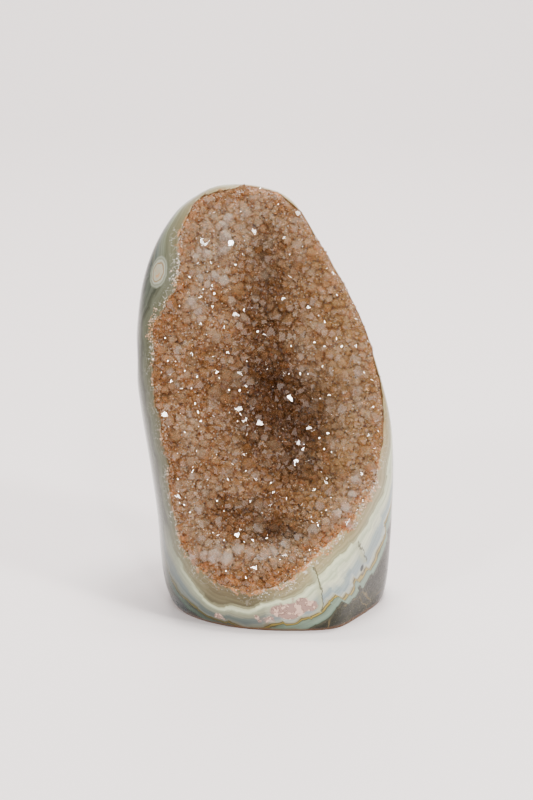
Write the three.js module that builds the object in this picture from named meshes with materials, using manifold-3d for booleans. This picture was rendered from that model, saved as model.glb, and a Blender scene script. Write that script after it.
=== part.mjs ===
// A free-standing geode half: a polished agate stone with a flat cut base, whose leaning face
// opens into a shallow hollow lined with one crust of small quartz crystals.
// Millimetres, +Z up, the crystal face towards -Y, the origin under the middle of the base.
import * as THREE from "three";
import { ParametricGeometry } from "three/addons/geometries/ParametricGeometry.js";
import { mergeVertices } from "three/addons/utils/BufferGeometryUtils.js";
import Module from "manifold-3d";

const wasm = await Module();
wasm.setup();

// The stone's outside, as horizontal sections from the cut base to the rounded top. Each section
// runs through its left, right, front and back points. leftAt and rightAt say how far back the
// left and right points lie, frontAt where across the stone its front point lies, and the two
// corner values how square the section is between the front point and each side.
const SECTION_KEYS = [
  "z", "left", "right", "front", "back", "leftAt", "rightAt", "frontAt", "cornerLeft", "cornerRight",
];
const STONE_SECTIONS = [
  [0.0, -28.2, 36.2, -27.6, 25.0, -1.0, 4.0, 8.0, 2.05, 2.6],
  [2.5, -29.7, 37.5, -29.0, 27.0, -1.0, 4.0, 8.0, 2.1, 2.6],
  [8.0, -31.3, 38.4, -30.3, 29.0, -1.0, 4.0, 6.0, 2.2, 2.7],
  [17.0, -32.4, 38.9, -30.7, 30.8, 0.0, 2.5, 4.0, 2.3, 2.8],
  [30.0, -33.4, 39.3, -29.4, 32.2, 1.5, -1.5, 2.0, 2.5, 2.8],
  [45.0, -35.4, 39.3, -25.8, 33.0, 3.5, -6.5, 2.0, 2.8, 2.8],
  [60.0, -37.7, 38.0, -21.7, 33.2, 5.0, -9.5, 1.0, 3.1, 2.9],
  [74.0, -39.4, 34.6, -17.7, 33.2, 6.5, -9.5, -1.0, 3.1, 3.0],
  [88.0, -38.9, 29.7, -13.7, 32.8, 7.5, -8.0, -3.0, 3.0, 3.0],
  [101.0, -37.0, 23.7, -9.9, 31.5, 8.0, -5.5, -5.0, 2.8, 2.8],
  [112.0, -33.0, 17.0, -6.2, 29.2, 8.0, -2.0, -8.0, 2.6, 2.6],
  [121.0, -27.0, 11.4, -2.4, 24.6, 8.0, 2.0, -9.0, 2.4, 2.4],
  [126.0, -20.4, 6.4, 1.1, 18.4, 8.0, 5.0, -9.0, 2.2, 2.2],
  [128.7, -14.8, -1.6, 4.6, 11.8, 8.0, 7.5, -9.0, 2.0, 2.0],
  [129.4, -9.0, -9.0, 8.0, 8.0, 8.0, 8.0, -9.0, 2.0, 2.0],
];
const BACK_CORNER = 2.2; // how square a section is between its back point and each side
const STONE_SLICES = 48;
const STONE_STACKS = 24;

// Flats ground on the outside. A flat's plane keeps the points with normal . point below reach,
// and blend is how softly the flat runs into the round stone.
const GROUND_FLATS = [
  { normal: [0.84, -0.52, -0.12], reach: 32.6, blend: 1.2 },
  { normal: [0.62, 0.76, 0.16], reach: 41.0, blend: 2.2 },
  { normal: [-0.62, 0.76, 0.18], reach: 49.0, blend: 1.8 },
  { normal: [0.1, 0.93, 0.36], reach: 64.5, blend: 2.6 },
];

// Natural pits that the grinding left in the skin: place, radius and depth.
const SKIN_PITS = [
  { at: [-39.0, 4.0, 76.0], radius: 5.5, depth: 1.5 },
  { at: [-38.5, 7.0, 63.0], radius: 4.5, depth: 1.2 },
  { at: [-30.0, 22.0, 88.0], radius: 8.0, depth: 2.0 },
  { at: [4.0, 31.0, 62.0], radius: 10.0, depth: 2.4 },
  { at: [22.0, 25.0, 34.0], radius: 7.0, depth: 1.8 },
  { at: [-16.0, 29.0, 30.0], radius: 8.0, depth: 1.8 },
];

// The edge of the crystal face, seen from the front, as [across, up].
const FACE_EDGE = [
  [-9.4, 128.1], [-3.5, 127.9], [1.2, 127.0], [5.4, 125.0], [10.2, 121.2], [14.4, 114.8],
  [19.2, 107.4], [23.8, 99.8], [28.0, 91.4], [31.4, 82.8], [33.8, 74.8], [35.2, 67.0],
  [35.4, 59.6], [34.4, 52.4], [32.8, 45.4], [29.8, 38.8], [25.2, 33.2], [19.6, 27.8],
  [13.4, 22.4], [6.6, 16.8], [-1.0, 13.8], [-8.2, 13.4], [-15.4, 15.2], [-21.2, 19.4],
  [-24.8, 24.6], [-27.0, 33.2], [-28.8, 44.0], [-30.2, 54.4], [-32.2, 65.0], [-33.6, 76.0],
  [-33.4, 86.6], [-31.0, 94.0], [-26.8, 102.0], [-25.6, 108.4], [-25.8, 115.0], [-24.2, 120.2],
  [-21.0, 124.8], [-15.8, 127.2],
];
const FACE_CENTRE = [1.0, 68.0];

// The hollow behind the face: how far its floor lies below the polished edge, its even depth
// towards the middle, then deeper pools and raised lumps and ledges in it.
const EDGE_DROP = 1.2;
const HOLLOW_DEPTH = 7.5;
const HOLLOW_SQUARENESS = 3.0;
const POOLS = [
  { at: [4.0, 66.0], size: [12.0, 17.0], depth: 4.6 },
  { at: [12.0, 49.0], size: [9.0, 9.0], depth: 3.4 },
  { at: [0.0, 98.0], size: [7.0, 18.0], depth: 4.2 },
  { at: [1.0, 28.0], size: [16.0, 5.0], depth: 3.2 },
  { at: [-20.0, 58.0], size: [9.0, 15.0], depth: -2.2 },
  { at: [-14.0, 88.0], size: [8.0, 9.0], depth: -1.8 },
  { at: [20.0, 78.0], size: [7.0, 12.0], depth: -1.6 },
  { at: [23.0, 52.0], size: [6.0, 5.0], depth: -2.8 },
  { at: [22.0, 37.0], size: [8.0, 4.5], depth: -2.6 },
  { at: [8.0, 22.0], size: [9.0, 4.0], depth: -2.6 },
  { at: [-12.0, 44.0], size: [6.0, 8.0], depth: -1.4 },
];
const CRUST_THICKNESS = 5.0;
const CRUST_GAP = 0.35; // left between the crust and the stone

// The crust's larger crystals: six-sided points whose flanks run into each other.
const CRYSTAL_SPACING = 6.0;
const CRYSTAL_SHAKE = 0.62; // of the spacing
const CRYSTAL_RADIUS = 4.4;
const CRYSTAL_RISE = [0.4, 2.4]; // how far the tips stand over the hollow's floor
const CRYSTAL_ROOT = 4.5; // how deep its straight flanks run below the hollow's floor
const TIP_PER_RADIUS = 1.1;
const CRYSTAL_TILT = 0.36;
const MASS_SUNK = 1.7; // the ground mass between the crystals, below the hollow's floor
const CRYSTAL_REACH = 0.97; // of the way from the face's centre to its edge

// A repeatable stream of numbers from 0 to 1.
function seededNumbers(seed) {
  let state = seed;
  return () => {
    state = (state + 0x6d2b79f5) | 0;
    let t = Math.imul(state ^ (state >>> 15), 1 | state);
    t = (t + Math.imul(t ^ (t >>> 7), 61 | t)) ^ t;
    return ((t ^ (t >>> 14)) >>> 0) / 4294967296;
  };
}

// The sections as one smooth curve from the base, 0, to the top, 1.
const sectionCurve = new THREE.CubicInterpolant(
  STONE_SECTIONS.map((_, i) => i / (STONE_SECTIONS.length - 1)),
  STONE_SECTIONS.flat(),
  SECTION_KEYS.length,
);

// The section at a place along the stone, as named values.
function sectionAt(along) {
  const values = sectionCurve.evaluate(along);
  return Object.fromEntries(SECTION_KEYS.map((key, i) => [key, values[i]]));
}

// The section at a height, found by halving.
function sectionAtHeight(z) {
  let low = 0;
  let high = 1;
  for (let step = 0; step < 24; step++) {
    const middle = (low + high) / 2;
    if (sectionAt(middle).z < z) low = middle;
    else high = middle;
  }
  return sectionAt((low + high) / 2);
}

// A power that keeps the sign, for rounded-square outlines.
const signedPower = (value, power) => Math.sign(value) * Math.abs(value) ** power;

// A point of a section's outline, at an angle counted from the right towards the back.
function outlinePoint(section, angle) {
  const toRight = Math.cos(angle) >= 0;
  const toBack = Math.sin(angle) >= 0;
  const corner = toBack ? BACK_CORNER : toRight ? section.cornerRight : section.cornerLeft;
  const side = toRight ? section.right : section.left;
  const sideAt = toRight ? section.rightAt : section.leftAt;
  const end = toBack ? section.back : section.front;
  const across = signedPower(Math.abs(Math.cos(angle)), 2 / corner);
  const along = signedPower(Math.abs(Math.sin(angle)), 2 / corner);
  return new THREE.Vector3(
    section.frontAt + (side - section.frontAt) * across,
    sideAt + (end - sideAt) * along,
    section.z,
  );
}

// Presses a point of the outside back behind the ground flats and into the pits.
function grind(point, centre) {
  for (const flat of GROUND_FLATS) {
    const normal = new THREE.Vector3(...flat.normal).normalize();
    const beyond = (normal.dot(point) - flat.reach) / flat.blend;
    const pressed = flat.blend * Math.log1p(Math.exp(Math.min(beyond, 30)));
    point.x -= normal.x * pressed;
    point.y -= normal.y * pressed;
  }
  for (const pit of SKIN_PITS) {
    const distance = point.distanceTo(new THREE.Vector3(...pit.at));
    const depth = pit.depth * Math.exp(-((distance / pit.radius) ** 2) * 1.5);
    point.lerp(centre, depth / Math.max(point.distanceTo(centre), 1));
  }
  return point;
}

// A closed solid from a geometry whose seams and poles only touch.
function solidOf(geometry) {
  geometry.deleteAttribute("normal");
  geometry.deleteAttribute("uv");
  const merged = mergeVertices(geometry, 1e-4);
  const vertProperties = new Float32Array(merged.attributes.position.array);
  const corners = Array.from(merged.index.array);
  const triVerts = [];
  for (let i = 0; i < corners.length; i += 3) {
    const [a, b, c] = corners.slice(i, i + 3);
    if (a !== b && b !== c && a !== c) triVerts.push(a, b, c);
  }
  const solid = new wasm.Manifold(
    new wasm.Mesh({ numProp: 3, vertProperties, triVerts: new Uint32Array(triVerts) }),
  );
  if (solid.volume() > 0) return solid;
  for (let i = 0; i < triVerts.length; i += 3) {
    [triVerts[i + 1], triVerts[i + 2]] = [triVerts[i + 2], triVerts[i + 1]];
  }
  return new wasm.Manifold(
    new wasm.Mesh({ numProp: 3, vertProperties, triVerts: new Uint32Array(triVerts) }),
  );
}

// The largest body of a solid, without crumbs cut loose at its edge and bubbles sealed inside it.
function largestBody(solid) {
  return solid.decompose().reduce((a, b) => (b.volume() > a.volume() ? b : a));
}

// A named mesh from a solid.
function meshOf(name, solid, material) {
  const { vertProperties, triVerts } = solid.getMesh();
  const geometry = new THREE.BufferGeometry();
  geometry.setAttribute("position", new THREE.BufferAttribute(new Float32Array(vertProperties), 3));
  geometry.setIndex(new THREE.BufferAttribute(triVerts, 1));
  geometry.computeVertexNormals();
  const mesh = new THREE.Mesh(geometry, material);
  mesh.name = name;
  return mesh;
}

// The whole ground stone with its flat base, before the hollow is opened.
function wholeStone() {
  const surface = new ParametricGeometry(
    (around, up, target) => {
      // The first stack closes the flat base, from its middle to its edge.
      const baseShare = 1 / STONE_STACKS;
      const along = Math.max(0, (up - baseShare) / (1 - baseShare));
      const section = sectionAt(along);
      const centre = new THREE.Vector3(section.frontAt, (section.leftAt + section.rightAt) / 2, section.z);
      if (up < baseShare / 2) target.set(0, 0, 0);
      else target.copy(grind(outlinePoint(section, around * 2 * Math.PI), centre));
    },
    STONE_SLICES,
    STONE_STACKS,
  );
  return solidOf(surface);
}

// The face's edge as a smooth closed curve, and how far it is from the centre in each direction.
const edgeCurve = new THREE.CatmullRomCurve3(
  FACE_EDGE.map(([x, z]) => new THREE.Vector3(x, 0, z)),
  true,
);
const EDGE_STEPS = 720;
const edgeReach = edgeCurve
  .getPoints(EDGE_STEPS)
  .map((p) => ({
    angle: Math.atan2(p.z - FACE_CENTRE[1], p.x - FACE_CENTRE[0]),
    reach: Math.hypot(p.x - FACE_CENTRE[0], p.z - FACE_CENTRE[1]),
  }))
  .sort((a, b) => a.angle - b.angle);
function reachAt(angle) {
  const wrapped = Math.atan2(Math.sin(angle), Math.cos(angle));
  const after = edgeReach.findIndex((e) => e.angle >= wrapped);
  return edgeReach[after < 0 ? 0 : after].reach;
}

// How far a point of the front view lies from the face's centre, as a share of the way to its edge.
function shareOut(x, z) {
  const dx = x - FACE_CENTRE[0];
  const dz = z - FACE_CENTRE[1];
  return Math.hypot(dx, dz) / reachAt(Math.atan2(dz, dx));
}

// How far back the stone's front surface lies at a point of the front view.
function stoneFront(x, z) {
  const section = sectionAtHeight(z);
  const toRight = x > section.frontAt;
  const side = toRight ? section.right : section.left;
  const sideAt = toRight ? section.rightAt : section.leftAt;
  const corner = toRight ? section.cornerRight : section.cornerLeft;
  const across = Math.min(0.995, (x - section.frontAt) / (side - section.frontAt));
  const y = sideAt + (section.front - sideAt) * (1 - across ** corner) ** (1 / corner);
  return grind(new THREE.Vector3(x, y, z), new THREE.Vector3(section.frontAt, 5, z)).y;
}

// How far back the crust's surface lies, between its crystals.
function hollowFloor(x, z) {
  const share = Math.min(1, shareOut(x, z));
  const bowl = 1 - share ** HOLLOW_SQUARENESS;
  let depth = HOLLOW_DEPTH * bowl;
  for (const pool of POOLS) {
    const away = ((x - pool.at[0]) / pool.size[0]) ** 2 + ((z - pool.at[1]) / pool.size[1]) ** 2;
    depth += pool.depth * Math.exp(-away) * Math.sqrt(bowl);
  }
  return stoneFront(x, z) + EDGE_DROP + depth;
}

// The room for the crust: open to the front, with the face's edge as its wall and a rounded back.
// inset makes it smaller all round, and reach is how far it runs out of the face.
function crustRoom(inset, reach) {
  const shares = [0, 0.35, 0.62, 0.82, 0.93, 0.98, 1];
  const rings = shares.length - 1;
  const surface = new ParametricGeometry(
    (around, out, target) => {
      const angle = around * 2 * Math.PI;
      const edge = reachAt(angle) - inset;
      const ring = Math.round(out * (rings + 1));
      const share = ring > rings ? 0 : shares[ring];
      const x = FACE_CENTRE[0] + edge * share * Math.cos(angle);
      const z = FACE_CENTRE[1] + edge * share * Math.sin(angle);
      const thickness = (CRUST_THICKNESS - inset) * Math.sqrt(1 - share ** 6);
      if (ring > rings) target.set(FACE_CENTRE[0], -reach, FACE_CENTRE[1]);
      else target.set(x, hollowFloor(x, z) + thickness, z);
    },
    48,
    rings + 1,
  );
  return solidOf(surface);
}

// The crust's ground mass, up to the floor of the hollow, with its back left deep.
function crustMass() {
  const rings = 8;
  const deep = 40;
  const surface = new ParametricGeometry(
    (around, out, target) => {
      const angle = around * 2 * Math.PI;
      const share = Math.min(1, out * (rings + 1) / rings) * 1.02;
      const x = FACE_CENTRE[0] + reachAt(angle) * share * Math.cos(angle);
      const z = FACE_CENTRE[1] + reachAt(angle) * share * Math.sin(angle);
      if (out > 1 - 0.5 / (rings + 1)) target.set(FACE_CENTRE[0], deep, FACE_CENTRE[1]);
      else target.set(x, hollowFloor(x, z) + MASS_SUNK, z);
    },
    30,
    rings + 1,
  );
  return solidOf(surface);
}

// One crystal: a six-sided point on straight flanks, leaning a little from the hollow's floor.
function crystal(x, z, rise, next) {
  const step = 1.5;
  const slopeX = (hollowFloor(x + step, z) - hollowFloor(x - step, z)) / (2 * step);
  const slopeZ = (hollowFloor(x, z + step) - hollowFloor(x, z - step)) / (2 * step);
  const way = new THREE.Vector3(slopeX, -1, slopeZ).normalize();
  way.x += (next() - 0.5) * 2 * CRYSTAL_TILT;
  way.z += (next() - 0.5) * 2 * CRYSTAL_TILT;
  way.normalize();
  const shoulder = rise - CRYSTAL_RADIUS * TIP_PER_RADIUS;
  const shape = new THREE.LatheGeometry(
    [
      new THREE.Vector2(0, -CRYSTAL_ROOT),
      new THREE.Vector2(CRYSTAL_RADIUS, -CRYSTAL_ROOT),
      new THREE.Vector2(CRYSTAL_RADIUS, shoulder),
      new THREE.Vector2(0, rise),
    ],
    6,
    next() * Math.PI,
  );
  const turn = new THREE.Quaternion().setFromUnitVectors(new THREE.Vector3(0, 1, 0), way);
  const place = new THREE.Vector3(x, hollowFloor(x, z), z);
  shape.applyMatrix4(new THREE.Matrix4().compose(place, turn, new THREE.Vector3(1, 1, 1)));
  return solidOf(shape);
}

// All the larger crystals, on a shaken six-sided lattice over the face.
function crystals() {
  const next = seededNumbers(7);
  const made = [];
  const rowStep = CRYSTAL_SPACING * Math.sqrt(0.75);
  const [lowest, highest] = CRYSTAL_RISE;
  for (let row = 0; row * rowStep < 120; row++) {
    for (let column = 0; column * CRYSTAL_SPACING < 76; column++) {
      const shift = (row % 2) / 2;
      const x = -36 + (column + shift + (next() - 0.5) * CRYSTAL_SHAKE) * CRYSTAL_SPACING;
      const z = 12 + (row + (next() - 0.5) * CRYSTAL_SHAKE) * rowStep;
      const rise = lowest + (highest - lowest) * next();
      if (shareOut(x, z) < CRYSTAL_REACH) made.push(crystal(x, z, rise, next));
    }
  }
  return made;
}

const agate = new THREE.MeshStandardMaterial({ color: 0x9aa494, roughness: 0.2, metalness: 0 });
const druse = new THREE.MeshStandardMaterial({ color: 0xa9805f, roughness: 0.25, metalness: 0 });

const stone = wholeStone().subtract(crustRoom(0, 80));
const crust = largestBody(
  crustMass()
    .add(wasm.Manifold.union(crystals()))
    .intersect(crustRoom(CRUST_GAP, 70)),
);

const geode = new THREE.Group();
geode.add(meshOf("agate_stone", stone, agate));
geode.add(meshOf("crystal_crust", crust, druse));

// The middle of the base goes to the origin.
const box = new THREE.Box3().setFromObject(geode);
geode.position.set(-(box.min.x + box.max.x) / 2, -(box.min.y + box.max.y) / 2, -box.min.z);

export default geode;
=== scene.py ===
"""A free-standing geode half: polished banded agate round a hollow lined with small quartz crystals.

The pieces are built in millimetres in the stone's own frame and then placed, in metres, over the
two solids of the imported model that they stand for.
"""

import logging
import math
from collections.abc import Sequence
from dataclasses import dataclass
from enum import Enum

import bmesh
import bpy
import numpy as np
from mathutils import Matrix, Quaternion, Vector
from mathutils.kdtree import KDTree


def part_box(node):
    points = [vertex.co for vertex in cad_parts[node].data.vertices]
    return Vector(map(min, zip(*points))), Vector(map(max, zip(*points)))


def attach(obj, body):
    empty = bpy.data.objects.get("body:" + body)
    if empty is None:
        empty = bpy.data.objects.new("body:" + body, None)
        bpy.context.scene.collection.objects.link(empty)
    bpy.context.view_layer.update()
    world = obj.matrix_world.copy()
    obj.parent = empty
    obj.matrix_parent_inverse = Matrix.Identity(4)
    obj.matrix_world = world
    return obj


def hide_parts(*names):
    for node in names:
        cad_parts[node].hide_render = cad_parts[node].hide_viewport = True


LOG = logging.getLogger("druzy_geode")
MM = 0.001
Colour = tuple[float, float, float]
Stops = tuple[tuple[float, Colour], ...]

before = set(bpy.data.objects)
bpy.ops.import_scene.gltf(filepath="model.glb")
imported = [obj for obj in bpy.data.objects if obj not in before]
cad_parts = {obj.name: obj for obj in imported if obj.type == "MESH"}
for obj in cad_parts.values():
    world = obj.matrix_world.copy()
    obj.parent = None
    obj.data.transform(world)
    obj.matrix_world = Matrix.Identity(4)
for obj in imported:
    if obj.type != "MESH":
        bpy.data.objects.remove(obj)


# The stone's form

SECTION_KEYS = (
    "z", "left", "right", "front", "back", "left_at", "right_at", "front_at", "corner_left", "corner_right",
)
STONE_SECTIONS = (
    (0.0, -28.2, 36.2, -27.6, 25.0, -1.0, 4.0, 8.0, 2.05, 2.6),
    (2.5, -29.7, 37.5, -29.0, 27.0, -1.0, 4.0, 8.0, 2.1, 2.6),
    (8.0, -31.3, 38.4, -30.3, 29.0, -1.0, 4.0, 6.0, 2.2, 2.7),
    (17.0, -32.4, 38.9, -30.7, 30.8, 0.0, 2.5, 4.0, 2.3, 2.8),
    (30.0, -33.4, 39.3, -29.4, 32.2, 1.5, -1.5, 2.0, 2.5, 2.8),
    (45.0, -35.4, 39.3, -25.8, 33.0, 3.5, -6.5, 2.0, 2.8, 2.8),
    (60.0, -37.7, 38.0, -21.7, 33.2, 5.0, -9.5, 1.0, 3.1, 2.9),
    (74.0, -39.4, 34.6, -17.7, 33.2, 6.5, -9.5, -1.0, 3.1, 3.0),
    (88.0, -38.9, 29.7, -13.7, 32.8, 7.5, -8.0, -3.0, 3.0, 3.0),
    (101.0, -37.0, 23.7, -9.9, 31.5, 8.0, -5.5, -5.0, 2.8, 2.8),
    (112.0, -33.0, 17.0, -6.2, 29.2, 8.0, -2.0, -8.0, 2.6, 2.6),
    (121.0, -27.0, 11.4, -2.4, 24.6, 8.0, 2.0, -9.0, 2.4, 2.4),
    (126.0, -20.4, 6.4, 1.1, 18.4, 8.0, 5.0, -9.0, 2.2, 2.2),
    (128.7, -14.8, -1.6, 4.6, 11.8, 8.0, 7.5, -9.0, 2.0, 2.0),
    (129.4, -9.0, -9.0, 8.0, 8.0, 8.0, 8.0, -9.0, 2.0, 2.0),
)
GROUND_FLATS = (
    # normal, reach along it, softness of its border
    ((0.84, -0.52, -0.12), 32.6, 1.2),
    ((0.62, 0.76, 0.16), 41.0, 2.2),
    ((-0.62, 0.76, 0.18), 49.0, 1.8),
    ((0.1, 0.93, 0.36), 64.5, 2.6),
)
SKIN_PITS = (
    # place, radius, depth
    ((-39.0, 4.0, 76.0), 5.5, 1.5),
    ((-38.5, 7.0, 63.0), 4.5, 1.2),
    ((-30.0, 22.0, 88.0), 8.0, 2.0),
    ((4.0, 31.0, 62.0), 10.0, 2.4),
    ((22.0, 25.0, 34.0), 7.0, 1.8),
    ((-16.0, 29.0, 30.0), 8.0, 1.8),
)
FACE_CENTRE = (1.0, 68.0)
FACE_EDGE = (
    (-9.4, 128.1), (-3.5, 127.9), (1.2, 127.0), (5.4, 125.0), (10.2, 121.2), (14.4, 114.8),
    (19.2, 107.4), (23.8, 99.8), (28.0, 91.4), (31.4, 82.8), (33.8, 74.8), (35.2, 67.0),
    (35.4, 59.6), (34.4, 52.4), (32.8, 45.4), (29.8, 38.8), (25.2, 33.2), (19.6, 27.8),
    (13.4, 22.4), (6.6, 16.8), (-1.0, 13.8), (-8.2, 13.4), (-15.4, 15.2), (-21.2, 19.4),
    (-24.8, 24.6), (-27.0, 33.2), (-28.8, 44.0), (-30.2, 54.4), (-32.2, 65.0), (-33.6, 76.0),
    (-33.4, 86.6), (-31.0, 94.0), (-26.8, 102.0), (-25.6, 108.4), (-25.8, 115.0), (-24.2, 120.2),
    (-21.0, 124.8), (-15.8, 127.2),
)
HOLLOW_POOLS = (
    # place in the front view, size, depth (negative for a lump or a ledge)
    ((4.0, 66.0), (12.0, 17.0), 4.6),
    ((12.0, 49.0), (9.0, 9.0), 3.4),
    ((0.0, 98.0), (7.0, 18.0), 4.2),
    ((1.0, 28.0), (16.0, 5.0), 3.2),
    ((-20.0, 58.0), (9.0, 15.0), -2.2),
    ((-14.0, 88.0), (8.0, 9.0), -1.8),
    ((20.0, 78.0), (7.0, 12.0), -1.6),
    ((23.0, 52.0), (6.0, 5.0), -2.8),
    ((22.0, 37.0), (8.0, 4.5), -2.6),
    ((8.0, 22.0), (9.0, 4.0), -2.6),
    ((-12.0, 44.0), (6.0, 8.0), -1.4),
)


def lattice_noise(x: np.ndarray, y: np.ndarray, size: float, seed: int) -> np.ndarray:
    """Smooth random values over a plane.

    Args:
        x: places across.
        y: places up.
        size: how far apart the random values lie.
        seed: fixes the values.

    Returns:
        A value from -1 to 1 for each place.
    """
    values = np.random.default_rng(seed).uniform(-1, 1, (256, 256))
    column = x / size + 64
    row = y / size + 64
    i = np.floor(column).astype(int)
    j = np.floor(row).astype(int)
    u = column - i
    v = row - j
    u = u * u * (3 - 2 * u)
    v = v * v * (3 - 2 * v)
    i %= 255
    j %= 255
    low = values[j, i] * (1 - u) + values[j, i + 1] * u
    high = values[j + 1, i] * (1 - u) + values[j + 1, i + 1] * u
    return low * (1 - v) + high * v


@dataclass(frozen=True)
class EdgeProfile:
    """Values that change round the face's edge, by the angle in degrees seen from its centre."""

    stops: tuple[tuple[float, float], ...]

    def at(self, angle: np.ndarray) -> np.ndarray:
        """The values at angles in radians."""
        degrees, values = np.array(self.stops).T
        return np.interp(np.degrees(angle), degrees, values, period=360)


MINT_LINE = EdgeProfile((
    (-150, 5.5), (-130, 5.0), (-118, 4.0), (-115, 5.4), (-113, 5.8), (-109.5, 6.6), (-106, 7.4),
    (-99, 6.3), (-94, 4.4), (-88, 4.5), (-85, 5.3), (-81, 5.5), (-78, 6.1), (-75, 4.9), (-70, 5.5),
    (-66, 4.8), (-61, 5.4), (-55, 6.2), (-51, 8.2), (-47, 7.1), (-42, 8.4), (-20, 5.5), (0, 3.0),
    (45, 2.2), (90, 2.5), (120, 5.0), (140, 6.0), (160, 5.0), (180, 4.5),
))
CONTACT_LINE = EdgeProfile((
    (-150, 14.0), (-130, 15.0), (-118, 14.5), (-105, 13.5), (-95, 13.0), (-88, 12.8), (-83, 13.8),
    (-80, 13.3), (-76, 14.7), (-73, 19.5), (-67, 17.5), (-61, 21.8), (-58, 23.8), (-48, 21.2),
    (-46, 22.6), (-40, 18.5), (-20, 13.0), (0, 9.0), (20, 7.0), (45, 6.0), (90, 6.0), (110, 7.5),
    (130, 12.0), (150, 13.0), (180, 12.5),
))
EDGE_SPREAD = EdgeProfile((
    (-120, -0.2), (-60, -0.2), (-30, -0.1), (-10, 0.2), (30, 0.5), (60, 0.8), (78, 1.15), (90, 1.15),
    (100, 0.8), (108, 0.0), (115, -0.5), (125, -0.5), (136, 0.0),
))
RIM_CALM = EdgeProfile((
    (-150, 0.1), (-40, 0.1), (-20, 0.5), (0, 0.62), (95, 0.62), (108, 0.4), (118, 0.1),
))
RIM_RISE = EdgeProfile((
    (-150, 0.5), (-90, 0.5), (-50, 0.5), (-20, 0.2), (0, -0.2), (60, -0.2), (95, 0.1), (120, 0.3),
    (180, 0.5),
))
LOW_HAZE = EdgeProfile((
    (-150, 0.0), (-130, 0.0), (-116, 0.3), (-106, 0.9), (-96, 1.0), (-86, 0.35), (-76, 0.0),
))
LEFT_FLANK = EdgeProfile(((95, 0.0), (125, 1.0), (232, 1.0), (256, 0.0)))
# The lower left side, where the agate is partly its own dark teal and partly painted shade towards the base.
TEAL_AND_SHADE_SIDE = EdgeProfile(((180, 0.0), (200, 1.0), (244, 1.0), (266, 0.0)))
SUGAR = EdgeProfile((
    (-150, 0.3), (-128, 0.9), (-118, 0.6), (-105, 0.15), (-96, 0.5), (-88, 1.0), (-40, 1.0),
    (-25, 0.5), (0, 0.2), (90, 0.2), (116, 0.2), (126, 1.0), (150, 1.0), (165, 0.6), (180, 0.3),
))
RUST = EdgeProfile((
    (-150, 0.35), (-125, 0.6), (-112, 1.0), (-60, 1.0), (-40, 0.8), (-25, 0.4), (0, 0.2), (60, 0.2),
    (100, 0.25), (118, 0.7), (128, 0.8), (138, 0.4), (152, 0.7), (165, 0.35), (180, 0.3),
))


def between_rows(rows: Sequence[np.ndarray], p: np.ndarray) -> np.ndarray:
    """Values of the smooth curve through four rows, p of the way from the second to the third."""
    a, b, c, d = rows
    return b + 0.5 * p * (c - a + p * (2 * a - 5 * b + 4 * c - d + p * (3 * (b - c) + d - a)))


def from_centre(turn: np.ndarray, reach: np.ndarray) -> tuple[np.ndarray, np.ndarray]:
    """The front view's places in some directions from the face's centre, across and up."""
    return FACE_CENTRE[0] + reach * np.cos(turn), FACE_CENTRE[1] + reach * np.sin(turn)


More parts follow.
